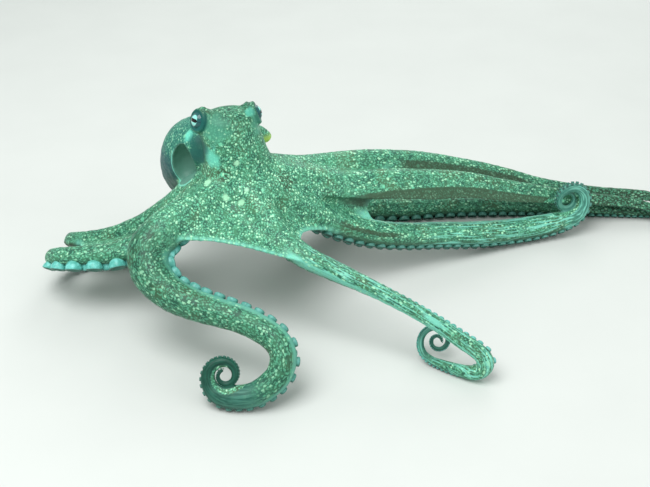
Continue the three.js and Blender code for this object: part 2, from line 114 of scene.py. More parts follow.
# %% Helpers for materials
SRGB_KNEE = 0.04045               # below this, sRGB is a straight line
SRGB_SLOPE = 12.92
SRGB_OFFSET = 0.055
SRGB_POWER = 2.4
WORLD_LIGHT = 0.75


def paint(hex_code):
    """A hex colour as linear RGBA."""
    channels = [int(hex_code[i:i + 2], 16) / 255 for i in (1, 3, 5)]
    bent = [((c + SRGB_OFFSET) / (1 + SRGB_OFFSET)) ** SRGB_POWER for c in channels]
    linear = [c / SRGB_SLOPE if c <= SRGB_KNEE else b for c, b in zip(channels, bent)]
    return (*linear, 1.0)


def new_material(name):
    """A node material with no nodes in it yet."""
    material = bpy.data.materials.new(name)
    material.use_nodes = True
    material.node_tree.nodes.clear()
    return material


def node(material, kind, links=None, **settings):
    """Adds one node. settings are its properties. links maps an input to a value or an output,
    or to a node, which stands for its first output in use."""
    made = material.node_tree.nodes.new("ShaderNode" + kind)
    for key, value in settings.items():
        setattr(made, key, value)
    for key, value in (links or {}).items():
        if isinstance(value, bpy.types.Node):
            value = next(output for output in value.outputs if output.enabled)
        if isinstance(value, bpy.types.NodeSocket):
            material.node_tree.links.new(value, made.inputs[key])
        else:
            made.inputs[key].default_value = value
    return made


table_card = new_material("matt_painted_board")
board_noise = node(table_card, "TexNoise", {"Scale": 60.0, "Detail": 4.0})
board_tint = node(table_card, "ValToRGB", {"Fac": board_noise})
board_tint.color_ramp.elements[0].color = paint("#cfd2cf")
board_tint.color_ramp.elements[1].color = paint("#d6d9d6")
board = node(table_card, "BsdfPrincipled", {"Base Color": board_tint, "Roughness": 0.9})
node(table_card, "OutputMaterial", {"Surface": board})
floor.data.materials.append(table_card)

world = bpy.data.worlds.new("studio")
scene.world = world
world.use_nodes = True
sky = world.node_tree.nodes["Background"]
sky.inputs["Color"].default_value = paint("#e4ebe8")
sky.inputs["Strength"].default_value = WORLD_LIGHT
print("helpers ready, floor painted")

# %% [markdown]
# ## The eight arms as routes
# Each arm is a line of points from the crown outwards, with the flesh's radius at each. The
# frame's solids follow the same lines. An arm also says which way its suckers face, where flaps
# of web run along its sides, and how its tip curls: the heading turns about one axis while the
# bend and the flesh shrink together, which is how a real arm winds up.

# %% Arm routes
ARMS = {
    "right_1": dict(
        route=[
            (-14, -6, 114, 17), (-38, -26, 106, 18), (-62, -46, 98, 19), (-76, -63, 86, 19.5),
            (-73, -78, 74, 18.5), (-58, -92, 64, 16), (-39, -104, 61, 14.5), (-17, -113, 59, 13.2),
            (4, -121, 57, 12.4), (22, -130, 53, 12.1), (35, -139, 47, 12.1), (40, -147, 39, 12),
            (37, -155, 28, 11.6), (27, -161, 19, 11.2), (14, -164, 12.5, 10.8), (-2, -164, 10, 10.3),
        ],
        suckers=[(0.3, 0.3, -1), (1, 0.2, -0.35), (0.1, 0.85, 0.5), (0.9, 0.3, -0.1), (0, -0.3, -1)],
        flap=[(0, 0), (0, 0)], lift=0, cup=(0.36, 0.36, 0.37, 0.38, 0.36, 0.30, 0.24, 0.22), lean=-12,
        curl=dict(normal=(0.05, 0.84, -0.54), turn=560, bend=(18, 3.9), flesh=1.5),
    ),
    "left_1": dict(
        route=[
            (8, -10, 115, 16), (18, -28, 104, 15), (34, -45, 90, 13), (52, -58, 80, 11.4),
            (77, -72, 74, 9.6), (102, -84, 68, 8.1), (127, -96, 61, 7.2), (152, -107, 52, 6.8),
            (172, -116, 43, 7), (189, -121, 32.5, 7.4), (197, -124.5, 28.5, 7.6),
            (203.5, -127.5, 24, 7.7), (206, -130.5, 18.6, 7.7), (203.5, -131, 11.6, 7.5),
            (197, -129.5, 7.6, 6.9), (187, -125, 6.2, 5.8), (176, -118.5, 5.6, 4.8),
            (165.5, -111.5, 5.2, 3.9),
        ],
        suckers=[(0, 0.5, -1), (0.1, 0.9, -0.3), (0.4, 0.9, 0.2), (0.7, 0.4, 0.3), (0, -0.4, -1)],
        flap=[(3, 0), (2.5, 0), (1, 0), (0, 0)], lift=0, cup=(0.36, 0.36), lean=-14,
        curl=dict(normal=(0, 0.8, -0.6), turn=660, bend=(17.2, 2.7), flesh=1.4),
    ),
    "right_2": dict(
        route=[
            (-12, 4, 117, 16), (-43, -2, 101, 15.2), (-70, -12, 80, 13.4), (-93, -20, 66, 11.4),
            (-116, -24, 58.5, 9.8), (-138, -25, 57, 9.2), (-159, -20, 53, 8.8), (-176, -6, 43, 8.4),
            (-181, 13, 28, 7.8), (-170, 32, 13, 7.2), (-150, 43, 6.8, 6.4), (-128, 47, 5.4, 5.6),
            (-106, 48, 4.6, 4.9),
        ],
        suckers=[(0, -0.2, -1), (0.2, -0.3, -1), (0, -0.3, -1), (0, 0, -1)],
        flap=[(4, 0), (3, 0), (1, 0), (0, 0)], lift=0.2, cup=(0.40, 0.60, 0.80, 0.84, 0.60, 0.44, 0.42, 0.42),
        lean=8,
        curl=dict(normal=(0, 0, -1), turn=400, bend=(15, 5), flesh=1.3),
    ),
    "right_3": dict(
        route=[
            (-12, 14, 119, 16), (-40, 20, 103, 15), (-68, 24, 81, 12.5), (-96, 29, 59, 10.4),
            (-124, 33, 44, 9.4), (-150, 38, 35, 9), (-171, 49, 27, 8.4), (-177, 65, 18, 7.5),
            (-166, 80, 10, 6.8), (-143, 88, 6, 6), (-116, 92, 4.9, 5), (-90, 99, 3.7, 3.9),
        ],
        suckers=[(0, 0, -1), (0, -0.2, -1), (0, 0, -1)],
        flap=[(0, 4), (0, 3), (0, 1), (0, 0)], lift=0.2, cup=(0.46, 0.46), lean=-26,
        curl=dict(normal=(0, 0, 1), turn=400, bend=(17, 5), flesh=1.3, rise=0.04),
    ),
    "right_4": dict(
        route=[
            (5, 28, 116, 16), (24, 56, 88, 16), (56, 92, 52, 15), (99, 122, 24, 13.5),
            (152, 138, 12.2, 12), (206, 145, 10.4, 10.6), (260, 147, 9.2, 9.4), (313, 146, 8.2, 8.4),
            (367, 144, 7, 7.2), (415, 141, 5.4, 5.6), (446, 141, 4.2, 4.4), (466, 140, 3.6, 3.8),
        ],
        suckers=[(0, -0.3, -1), (0, -0.5, -1), (0, -0.4, -1)],
        flap=[(2, 2), (2, 2), (0, 0)], lift=0.2, cup=(0.46, 0.46), lean=0,
        curl=dict(normal=(0, 0, 1), turn=400, bend=(12, 4.5), flesh=1.3, rise=0.04),
    ),
    "left_2": dict(
        route=[
            (22, -2, 115, 16), (50, 4, 92, 15.3), (82, 14, 68, 14), (115, 26, 50, 13.2),
            (150, 42, 37, 13), (186, 58, 28, 13.2), (223, 72, 20, 13.4), (258, 86, 14.4, 13.2),
            (286, 96, 12.8, 12.9), (310, 102.5, 14.6, 11.6), (324, 106, 17.4, 10.2),
        ],
        suckers=[(0, -0.4, -1), (0, -0.7, -1), (0, -0.7, -1)],
        flap=[(3, 4), (3, 4), (2, 3), (0, 0)], lift=0.8, cup=(0.38, 0.34, 0.30, 0.34), lean=12,
        curl=dict(normal=(0.3, -0.95, 0.1), turn=600, bend=(19.8, 5), flesh=1.5),
    ),
    "left_3": dict(
        route=[
            (24, 12, 118, 16), (55, 24, 107, 14.6), (92, 38, 96, 13), (130, 54, 91, 11.4),
            (169, 70, 84, 9.6), (211, 86, 74, 8.3), (254, 104, 57, 7.2), (299, 121, 41, 6.4),
            (350, 131, 28, 5.9), (402, 134, 19.5, 5.1), (430, 124, 12, 4.4), (448, 107, 5.4, 4),
            (452, 93, 3.8, 3.6),
        ],
        suckers=[(0, -0.1, -1), (0, -0.1, -1), (0, 0, -1)],
        flap=[(4, 3), (8, 3), (16, 3), (13, 3), (4, 2), (1, 1), (0, 0)], lift=-0.8, cup=(0.44, 0.44), lean=25,
        curl=dict(normal=(0, 0, -1), turn=380, bend=(11, 4.5), flesh=1.2),
    ),
    "left_4": dict(
        route=[
            (22, 24, 119, 16), (50, 42, 110, 13.9), (87, 62, 105, 12.3), (126, 84, 97, 10.7),
            (167, 104, 86, 9.4), (210, 122, 71, 8.1), (254, 136, 55, 7.2), (299, 145, 38, 6.3),
            (355, 150, 26, 5.7), (409, 153, 20, 5.2), (436, 160, 12, 4.5), (452, 171, 5.2, 4),
            (458, 182, 3.8, 3.6),
        ],
        suckers=[(0, -0.1, -1), (0, -0.1, -1), (0, 0, -1)],
        flap=[(4, 3), (7, 3), (5, 2), (0, 0)], lift=-0.7, cup=(0.44, 0.44), lean=25,
        curl=dict(normal=(0, 0, 1), turn=380, bend=(10, 4.5), flesh=1.2, rise=0.04),
    ),
}
print("arms:", ", ".join(ARMS))

# %% [markdown]
# ## From a route to stations
# A smooth line has to pass through every route point without overshooting, so the spline is a
# centripetal Catmull-Rom one. Sampling it gives stations: a place, a radius, the way the suckers
# face and the flaps' width. Blender's own curves could bevel a tube along this line, but a tube
# made here keeps the direction of the suckers in hand at each station.

# %% Splines and stations
SPLINE_STEPS = 40
CURL_STEP = 0.62                  # radians turned between two stations of a curl
CURL_RISE = -0.07
CURL_FOLLOW = 0.35                # how fast a curl's heading settles to its own slope
ORAL_FOLLOW = 0.3                 # how fast the suckers turn to the outside of a curl
TAPER = 0.8
ARM_GRAIN = 1.5                   # millimetres between the final stations


def spline(points, steps=SPLINE_STEPS):
    """Samples of the centripetal Catmull-Rom curve through all the points."""
    p = np.asarray(points, float)
    p = np.vstack([2 * p[0] - p[1], p, 2 * p[-1] - p[-2]])
    knots = np.maximum(np.linalg.norm(np.diff(p, axis=0), axis=1) ** 0.5, 1e-3)
    w = np.linspace(0, 1, steps, endpoint=False)[:, None]
    pieces = []
    for i in range(1, len(p) - 2):
        a, b, c = knots[i - 1:i + 2]
        start = ((p[i] - p[i - 1]) / a - (p[i + 1] - p[i - 1]) / (a + b) + (p[i + 1] - p[i]) / b) * b
        end = ((p[i + 1] - p[i]) / b - (p[i + 2] - p[i]) / (b + c) + (p[i + 2] - p[i + 1]) / c) * b
        square = -3 * p[i] + 3 * p[i + 1] - 2 * start - end
        cube = 2 * p[i] - 2 * p[i + 1] + start + end
        pieces.append(p[i] + start * w + square * w ** 2 + cube * w ** 3)
    return np.vstack([*pieces, p[-2:-1]])


def spread(keys, count):
    """Evenly spread keys, read at count places."""
    keys = np.asarray(keys, float)
    at = np.linspace(0, len(keys) - 1, count)
    return np.stack([np.interp(at, np.arange(len(keys)), column) for column in keys.T], 1)


def unit(vectors):
    return vectors / np.linalg.norm(vectors, axis=-1, keepdims=True)


def square_up(oral, heading):
    """The part of oral that stands at a right angle to the heading."""
    return unit(oral - heading * np.sum(oral * heading, axis=-1, keepdims=True))


def turned(vector, axis, angle):
    return np.array(Matrix.Rotation(angle, 3, Vector(axis)) @ Vector(vector))


def curl_stations(place, heading, oral, radius, curl):
    """Coarse stations of a curl: places, sucker directions and radii."""
    axis = unit(np.array(curl["normal"], float))
    full = math.radians(curl["turn"])
    rise = curl.get("rise", CURL_RISE)
    done = 0.0
    places, orals, radii = [], [], []
    while done < full - 1e-6:
        bend = curl["bend"][0] * (curl["bend"][1] / curl["bend"][0]) ** (done / full)
        step = min(CURL_STEP, full - done)
        done += step
        heading = turned(heading, axis, step / 2)
        heading = unit(heading + axis * (rise - heading @ axis) * CURL_FOLLOW)
        place = place + heading * step * bend
        heading = turned(heading, axis, step / 2)
        oral = turned(oral, axis, step)
        oral = oral + (np.cross(heading, axis) - oral) * ORAL_FOLLOW
        oral = square_up(oral, heading)
        places.append(place)
        orals.append(oral)
        radii.append(radius * (curl["flesh"] / radius) ** (min(done / full, 1) ** TAPER))
    return np.array(places), np.array(orals), np.array(radii)


def arm_line(arm):
    """All the stations of an arm, evenly spaced, as a dict of arrays in drawn millimetres."""
    route = np.array(arm["route"], float)
    place = spline(route[:, :3])
    count = len(place)
    radius = spread(route[:, 3:], count)[:, 0]
    heading = unit(np.gradient(place, axis=0))
    oral = square_up(spread(arm["suckers"], count), heading)
    flap = spread(arm["flap"], count)
    far, far_oral, far_radius = curl_stations(place[-1], heading[-1], oral[-1], radius[-1], arm["curl"])
    lead = 2 * SPLINE_STEPS // 3
    knots = np.vstack([place[[-lead, -1]], far])
    wound = spline(knots)[SPLINE_STEPS + 1:]
    winding = np.linspace(0, len(far), len(wound) + 1)[1:]
    keys = np.arange(len(far) + 1)
    wound_radius = np.interp(winding, keys, [radius[-1], *far_radius])
    wound_oral = np.stack([np.interp(winding, keys, [oral[-1][k], *far_oral[:, k]]) for k in range(3)], 1)
    place = np.vstack([place, wound])
    radius = np.concatenate([radius, wound_radius])
    oral = np.vstack([oral, wound_oral])
    flap = np.vstack([flap, np.zeros((len(wound), 2))])
    run = np.concatenate([[0], np.cumsum(np.linalg.norm(np.diff(place, axis=0), axis=1))])
    even = np.linspace(0, run[-1], int(run[-1] / ARM_GRAIN) + 1)
    read = lambda table: np.stack([np.interp(even, run, column) for column in table.T], 1)
    line = dict(place=read(place), oral=read(oral), flap=read(flap), run=even)
    line["radius"] = np.interp(even, run, radius)
    line["heading"] = unit(np.gradient(line["place"], axis=0))
    line["oral"] = square_up(line["oral"], line["heading"])
    line["side"] = np.cross(line["heading"], line["oral"])
    line["lift"] = arm["lift"]
    return line


lines = {name: arm_line(arm) for name, arm in ARMS.items()}
for name, line in lines.items():
    print(f"arm {name}: {line['run'][-1]:.0f} mm long, {len(line['run'])} stations")

# %% [markdown]
# ## Flesh from sections
# An arm's section isn't round: the back is rounded, and the band that carries the suckers is
# flatter. A loft joins all the sections of an arm into one closed tube. Every other part of the
# body starts as a closed loft too, because closed bodies can be melted together later.

# %% Lofts
ARM_SIDES = 28
SECTION_WIDE = 0.92
SECTION_DEEP = 0.96
SUCKER_FLAT = 0.84                # where the sucker band flattens the section
FLAP_ANGLES = (252, 108)
FLAP_SPREAD = 15.0                # degrees round the section


def loft(rings):
    """A closed tube through rings of points: vertices and faces."""
    rings = np.asarray(rings)
    count, around = rings.shape[:2]
    middle = [rings[0].mean(0), rings[-1].mean(0)]
    vertices = np.vstack([rings.reshape(-1, 3), middle])
    ring = np.arange(around)
    after = (ring + 1) % around
    faces = []
    for r in range(count - 1):
        a, b = r * around, (r + 1) * around
        faces += np.stack([a + ring, a + after, b + after, b + ring], 1).tolist()
    start, end = count * around, count * around + 1
    last = (count - 1) * around
    faces += [[start, k, i] for i, k in zip(ring, after)]
    faces += [[end, last + i, last + k] for i, k in zip(ring, after)]
    return vertices, faces


def arm_rings(line, first=0):
    """The sections of an arm, from one station on, closing softly at the tip."""
    angle = np.arange(ARM_SIDES) / ARM_SIDES * 2 * math.pi
    across = np.sin(angle)
    out = np.minimum(-np.cos(angle), SUCKER_FLAT)
    left = (line["run"][-1] - line["run"]) / line["radius"][-1]
    close = np.sqrt(np.clip(1 - np.clip(1 - left, 0, 1) ** 2, 0.02, 1))
    radius = (line["radius"] * close)[:, None]
    wide = across[None, :] * radius * SECTION_WIDE
    deep = out[None, :] * radius * SECTION_DEEP
    for edge, centre in enumerate(FLAP_ANGLES):
        bump = np.exp(-((np.degrees(angle) - centre) / FLAP_SPREAD) ** 2)
        fin = line["flap"][:, edge][:, None] * bump[None, :]
        wide = wide + np.sign(math.sin(math.radians(centre))) * fin
        deep = deep - fin * line["lift"]
    rings = line["place"][:, None, :] + wide[..., None] * line["side"][:, None, :]
    rings = rings + deep[..., None] * line["oral"][:, None, :]
    return rings[first:]


bodies = {}
for name, line in lines.items():
    bodies["arm_" + name] = loft(arm_rings(line))
print("arm lofts:", sum(len(v) for v, f in bodies.values()), "vertices")

# %% [markdown]
# ## The web
# A skin called the web joins neighbouring arms near the crown. Each web is a sheet stretched
# between two routes. Its free edge, the hem, is cut back in between in a soft U, and the sheet
# thins towards it.

# %% Web sheets
WEBS = [
    dict(arms=("right_1", "left_1"), reach=(82, 106), scoop=0.24, sag=(0, -12, 6)),
    dict(arms=("left_1", "left_2"), reach=(86, 104), scoop=0.42, sag=(0, -6, 0)),
    dict(arms=("left_2", "left_3"), reach=(148, 146), scoop=0.3, sag=(0, 0, 0)),
    dict(arms=("left_3", "left_4"), reach=(168, 166), scoop=0.3, sag=(0, 0, -2)),
    dict(arms=("left_4", "right_4"), reach=(168, 150), scoop=0.34, sag=(0, 4, 0)),
    dict(arms=("right_4", "right_3"), reach=(96, 92), scoop=0.4, sag=(0, 4, 0)),
    dict(arms=("right_3", "right_2"), reach=(186, 180), scoop=0.08, sag=(0, 0, -2)),
    dict(arms=("right_2", "right_1"), reach=(128, 104), scoop=0.3, sag=(-4, 0, 0)),
]
WEB_START = 14
# On this one web the painted hem light is mostly taken away.
DULL_HEM = 2                      # the web whose free edge is hardly paler than the rest
WEB_ACROSS = 22
WEB_ALONG = 40
WEB_THICK = 4.4
WEB_HEM = 2.6


def place_on(line, run):
    return np.stack([np.interp(run, line["run"], column) for column in line["place"].T], -1)


def web_sheet(web):
    """A web's middle surface as a grid of points, along by across."""
    u = np.linspace(0, 1, WEB_ACROSS + 1)[None, :]
    t = np.linspace(0, 1, WEB_ALONG + 1)[:, None]
    bow = 4 * u * (1 - u)
    out = t * (1 - web["scoop"] * bow)
    ends = []
    for arm, reach in zip(web["arms"], web["reach"]):
        ends.append(place_on(lines[arm], WEB_START + (reach - WEB_START) * out))
    sag = np.array(web["sag"], float)
    return ends[0] * (1 - u[..., None]) + ends[1] * u[..., None] + sag * (bow * t)[..., None]


def thick_sheet(grid, thickness):
    """A closed slab round a grid of points. thickness is given for each row."""
    du = np.gradient(grid, axis=1)
    dv = np.gradient(grid, axis=0)
    normal = unit(np.cross(du, dv))
    half = 0.5 * np.asarray(thickness)[:, None, None]
    rows, columns = grid.shape[:2]
    vertices = np.vstack([(grid + normal * half).reshape(-1, 3), (grid - normal * half).reshape(-1, 3)])
    size = rows * columns
    edge = [j * columns for j in range(rows)]
    edge += [(rows - 1) * columns + i for i in range(1, columns)]
    edge += [j * columns + columns - 1 for j in range(rows - 2, -1, -1)]
    edge += list(range(columns - 2, 0, -1))
    faces = []
    for j in range(rows - 1):
        for i in range(columns - 1):
            a = j * columns + i
            faces.append([a, a + 1, a + columns + 1, a + columns])
            faces.append([size + a, size + a + columns, size + a + columns + 1, size + a + 1])
    for a, b in zip(edge, edge[1:] + edge[:1]):
        faces.append([a, b, size + b, size + a])
    return vertices, faces


hems = []
for number, web in enumerate(WEBS):
    grid = web_sheet(web)
    bodies[f"web_{number}"] = thick_sheet(grid, np.linspace(WEB_THICK, WEB_HEM, WEB_ALONG + 1))
    hems.append(grid[-1])
print("webs:", len(WEBS))

# %% [markdown]
# ## Head, mantle and funnel
# The head is a blunt column between the arms' crown and the eyes, which stand out at its two top
# corners. Behind it hangs the mantle, the sac that holds the organs. The funnel is the short tube
# it breathes out through. These are lofts and stretched balls, which overlap freely for now.

# %% Body sections
EYE_AXIS = unit(np.array([0.94, 0.34, 0.0]))
EYES = {"right": np.array([-33.5, 4.5, 175.5]), "left": np.array([9.5, 20.5, 174.5])}
EYE_RADIUS = 8.6
HEAD_SIDES = 40
HEAD_RINGS = [
    (-1, 8, 98, 36, 30), (-1, 8, 106, 35, 29), (-2, 10, 122, 32, 27), (-5, 12, 140, 29.5, 25),
    (-9, 13, 156, 27.5, 24), (-11, 12, 168, 25.5, 22.5), (-11, 12, 176, 22, 20),
    (-11, 12, 181, 16, 14), (-11, 12, 183.5, 8, 7),
]
MANTLE_RINGS = [
    (-21, 30, 140, 25), (-33, 42, 132, 29.5), (-44, 60, 116, 36), (-50, 82, 94, 36),
    (-53, 100, 73, 29), (-54, 110, 57, 16), (-54, 113, 50, 5),
]
FUNNEL_RINGS = [(-12, 34, 148, 13), (6, 40, 147, 11), (16, 42, 144, 8.5), (24, 43, 138, 6.5)]
FUNNEL_BORE = 4
HUB_CENTRE = (0, 8, 110)
HUB_SIZE = (40, 33, 20)


def flat_ring(centre, wide, deep, sides):
    """A level oval ring whose long way is the line between the eyes."""
    depth = np.cross([0, 0, 1], EYE_AXIS)
    angle = np.arange(sides) / sides * 2 * math.pi
    ring = np.outer(np.cos(angle) * wide, EYE_AXIS) + np.outer(np.sin(angle) * deep, depth)
    return np.asarray(centre, float) + ring


def tube_rings(points, sides, steps=8):
    """Round rings square to the smooth line through (x, y, z, radius) points."""
    points = np.asarray(points, float)
    line = spline(points[:, :3], steps)
    radius = spline(np.stack([points[:, 3], points[:, 3] * 0, points[:, 3] * 0], 1), steps)[:, 0]
    heading = unit(np.gradient(line, axis=0))
    flat = unit(np.cross(heading, [0, 0, 1]))
    up = np.cross(flat, heading)
    angle = np.arange(sides) / sides * 2 * math.pi
    around = np.cos(angle)[None, :, None] * flat[:, None] + np.sin(angle)[None, :, None] * up[:, None]
    return line[:, None] + around * radius[:, None, None]


def ball(centre, size, around=40, down=24, axes=None):
    """A stretched ball. axes are its three directions, the world's unless given."""
    axes = np.eye(3) if axes is None else np.asarray(axes)
    rings = []
    for k in range(1, down):
        lean = math.pi * k / down
        angle = np.arange(around) / around * 2 * math.pi
        ring = np.stack([np.cos(angle) * math.sin(lean), np.sin(angle) * math.sin(lean),
                         np.full(around, math.cos(lean))], 1)
        rings.append(np.asarray(centre) + (ring * np.asarray(size, float)) @ axes)
    return loft(rings[::-1])


head_keys = np.array(HEAD_RINGS, float)
head_line = spline(head_keys[:, :3], 4)
head_size = spline(np.c_[head_keys[:, 3:], head_keys[:, 3] * 0], 4)
head_rings = [flat_ring(c, s[0], s[1], HEAD_SIDES) for c, s in zip(head_line, head_size)]
bodies["head"] = loft(head_rings)
bodies["hub"] = ball(HUB_CENTRE, HUB_SIZE)
print("head and hub lofted")

# %% [markdown]
# ### Cutting a hollow
# The mantle's mouth and the funnel's bore are real openings. A Boolean modifier cuts one closed
# body from another. It is read back as points and faces, so that the result can join the rest.

# %% A cut between two closed bodies
def mesh_object(name, vertices, faces, scale=1.0):
    mesh = bpy.data.meshes.new(name)
    mesh.from_pydata((np.asarray(vertices) * scale).tolist(), [], faces)
    mesh.update()
    made = bpy.data.objects.new(name, mesh)
    scene.collection.objects.link(made)
    return made


def evaluated(made):
    """The object's mesh after its modifiers, as an independent mesh."""
    graph = bpy.context.evaluated_depsgraph_get()
    return bpy.data.meshes.new_from_object(made.evaluated_get(graph))


def cut(body, cutter):
    """body less cutter, as vertices and faces."""
    kept = mesh_object("kept", *body)
    tool = mesh_object("tool", *cutter)
    boolean = kept.modifiers.new("cut", "BOOLEAN")
    boolean.object = tool
    boolean.operation = "DIFFERENCE"
    boolean.solver = "EXACT"
    mesh = evaluated(kept)
    vertices = np.array([v.co for v in mesh.vertices])
    faces = [list(p.vertices) for p in mesh.polygons]
    for scrap in (kept, tool):
        bpy.data.objects.remove(scrap)
    return vertices, faces


MANTLE_MOUTH = (-54, 25, 123)
MANTLE_MOUTH_SIZE = (13, 14, 19)
bodies["mantle"] = cut(loft(tube_rings(MANTLE_RINGS, 48)), ball(MANTLE_MOUTH, MANTLE_MOUTH_SIZE))
bore = [(*FUNNEL_RINGS[2][:3], FUNNEL_BORE), (*FUNNEL_RINGS[3][:3], FUNNEL_BORE), (32, 44, 132, FUNNEL_BORE)]
bodies["funnel"] = cut(loft(tube_rings(FUNNEL_RINGS, 32)), loft(tube_rings(bore, 20)))
print("mantle:", len(bodies["mantle"][0]), "vertices, funnel:", len(bodies["funnel"][0]))

# %% [markdown]
# ### Lids round the eyes
# An octopus's eye stands on a low mound, inside a raised ring of dark skin that closes over it.
# Each mound is a ball and each lid a ring, both set square to the way the eye looks.

# %% Eye mounds and lids
EYE_FORWARD = 25.0                # degrees that the head is turned to its left
EYE_SPREAD = 71.0                 # degrees between the head's own front and the way an eye looks
EYE_LIFT = 0.36                   # how far it looks up
MOUND_SIZE = 10.9
MOUND_INSET = 4.0
LID_RADIUS = 7.7
LID_TUBE = 2.0
LID_FORWARD = 3.6
FOLD_RADIUS = 10.4                # a second, softer fold lies round the lid
FOLD_TUBE = 1.2
FOLD_FORWARD = -1.0


def looks(side):
    """The way an eye looks, and the level and upright directions of its pupil."""
    turn = math.radians(EYE_FORWARD + (EYE_SPREAD if side == "left" else -EYE_SPREAD))
    forward = unit(np.array([math.sin(turn), -math.cos(turn), EYE_LIFT]))
    level = unit(np.cross([0, 0, 1], forward))
    return forward, level, np.cross(forward, level)


def ring_tube(centre, level, upright, radii, tube, around=48, sides=14):
    """A closed ring of round section, as vertices and faces."""
    a = np.arange(around) / around * 2 * math.pi
    b = np.arange(sides) / sides * 2 * math.pi
    outward = np.cos(a)[:, None] * level + np.sin(a)[:, None] * upright
    spine = centre + np.cos(a)[:, None] * level * radii[0] + np.sin(a)[:, None] * upright * radii[1]
    normal = np.cross(level, upright)
    wall = np.cos(b)[None, :, None] * outward[:, None] + np.sin(b)[None, :, None] * normal
    vertices = (spine[:, None] + wall * tube).reshape(-1, 3)
    faces = []
    for i in range(around):
        for j in range(sides):
            k, m = (i + 1) % around, (j + 1) % sides
            faces.append([i * sides + j, k * sides + j, k * sides + m, i * sides + m])
    return vertices, faces


for side, eye in EYES.items():
    forward, level, upright = looks(side)
    bodies["mound_" + side] = ball(eye - forward * MOUND_INSET, (MOUND_SIZE,) * 3)
    bodies["lid_" + side] = ring_tube(
        eye + forward * LID_FORWARD, level, upright, (LID_RADIUS, LID_RADIUS * 1.16), LID_TUBE)
    bodies["fold_" + side] = ring_tube(
        eye + forward * FOLD_FORWARD, level, upright, (FOLD_RADIUS, FOLD_RADIUS * 1.1), FOLD_TUBE)
print("eye mounds and lids:", len(EYES))

# %% [markdown]
# ## Melting it into one skin
# All the closed bodies overlap, so their joins show as creases. The Remesh modifier in voxel mode
# wraps one new surface round the lot, with even little faces. Then the vertices are drawn
# towards their neighbours many times near the crown, where flesh flows into flesh, and only a
# little out on the arms. Sculptors do the same with the smooth brush.

# %% Remesh
FINE_VOXEL = 1.05                 # millimetres
VOXEL = FINE_VOXEL


def melt(parts, voxel):
    """One surface round all the parts: vertices in drawn millimetres and faces as an array."""
    vertices, faces, base = [], [], 0
    for v, f in parts.values():
        vertices.append(v)
        faces += [[i + base for i in face] for face in f]
        base += len(v)
    whole = mesh_object("whole", np.vstack(vertices), faces, MM)
    remesh = whole.modifiers.new("voxels", "REMESH")
    remesh.mode = "VOXEL"
    remesh.voxel_size = voxel * MM
    mesh = evaluated(whole)
    bpy.data.objects.remove(whole)
    points = np.zeros(len(mesh.vertices) * 3, np.float32)
    mesh.vertices.foreach_get("co", points)
    corners = np.zeros(len(mesh.loops), np.int32)
    mesh.loops.foreach_get("vertex_index", corners)
    return points.reshape(-1, 3).astype(float) / MM, corners.reshape(-1, 4)


def edge_pairs(quads):
    """The vertices at the two ends of every edge, each edge once."""
    pairs = np.vstack([quads[:, [0, 1]], quads[:, [1, 2]], quads[:, [2, 3]], quads[:, [3, 0]]])
    pairs.sort(axis=1)
    return np.unique(pairs, axis=0)


def biggest_part(points, quads):
    """Only the largest connected piece, found by spreading the lowest label along the edges."""
    label = np.arange(len(points))
    pairs = edge_pairs(quads)
    while True:
        before = label.copy()
        low = np.minimum(label[pairs[:, 0]], label[pairs[:, 1]])
        np.minimum.at(label, pairs[:, 0], low)
        np.minimum.at(label, pairs[:, 1], low)
        label = label[label]
        if np.array_equal(before, label):
            break
    names, counts = np.unique(label, return_counts=True)
    keep = label == names[counts.argmax()]
    number = np.cumsum(keep) - 1
    return points[keep], number[quads[keep[quads].all(1)]]


skin_points, skin_quads = melt(bodies, VOXEL)
skin_points, skin_quads = biggest_part(skin_points, skin_quads)
print("skin after the remesh:", len(skin_points), "vertices", len(skin_quads), "faces")

# %% [markdown]
# ### Where each point of the skin belongs
# Colour and relief depend on where a point is: on which arm, how far out, on the back or under
# the suckers, near a hem, or on the mantle. A KD-tree finds the nearest station of any arm for
# every vertex, and the rest follows from that station's own directions.

# %% Nearest stations
def smoothstep(low, high, x):
    t = np.clip((x - low) / (high - low), 0, 1)
    return t * t * (3 - 2 * t)


def nearest(points, targets):
    """For each point, the index of its nearest target and the distance."""
    tree = KDTree(len(targets))
    for i, p in enumerate(targets):
        tree.insert(p, i)
    tree.balance()
    found = [tree.find(p)[1:] for p in points]
    return np.array([f[0] for f in found]), np.array([f[1] for f in found])


ARM_NAMES = list(ARMS)
stations = {key: np.concatenate([lines[n][key] for n in ARM_NAMES])
            for key in ("place", "radius", "run", "oral", "side")}
stations["arm"] = np.concatenate([np.full(len(lines[n]["run"]), i) for i, n in enumerate(ARM_NAMES)])
stations["part"] = np.concatenate([lines[n]["run"] / lines[n]["run"][-1] for n in ARM_NAMES])


def locate(points):
    """Each point's arm, run, part, and its place across the arm in radii."""
    index, _ = nearest(points, stations["place"])
    found = {key: stations[key][index] for key in stations}
    away = (points - found["place"]) / found["radius"][:, None]
    found["out"] = np.sum(away * found["oral"], axis=1)
    found["across"] = np.sum(away * found["side"], axis=1)
    found["reach"] = np.linalg.norm(away, axis=1)
    return found


where = locate(skin_points)
hem_points = np.vstack(hems)
_, hem_distance = nearest(skin_points, hem_points)
_, lid_distance = nearest(skin_points, np.array(list(EYES.values())))
print("nearest arm found for", len(skin_points), "vertices")

# %% [markdown]
# ### Smoothing
# The pull towards the neighbours is full on the crown and fades out along the arms. It is weak at
# the hems and round the eyes, where thin edges would otherwise melt away.

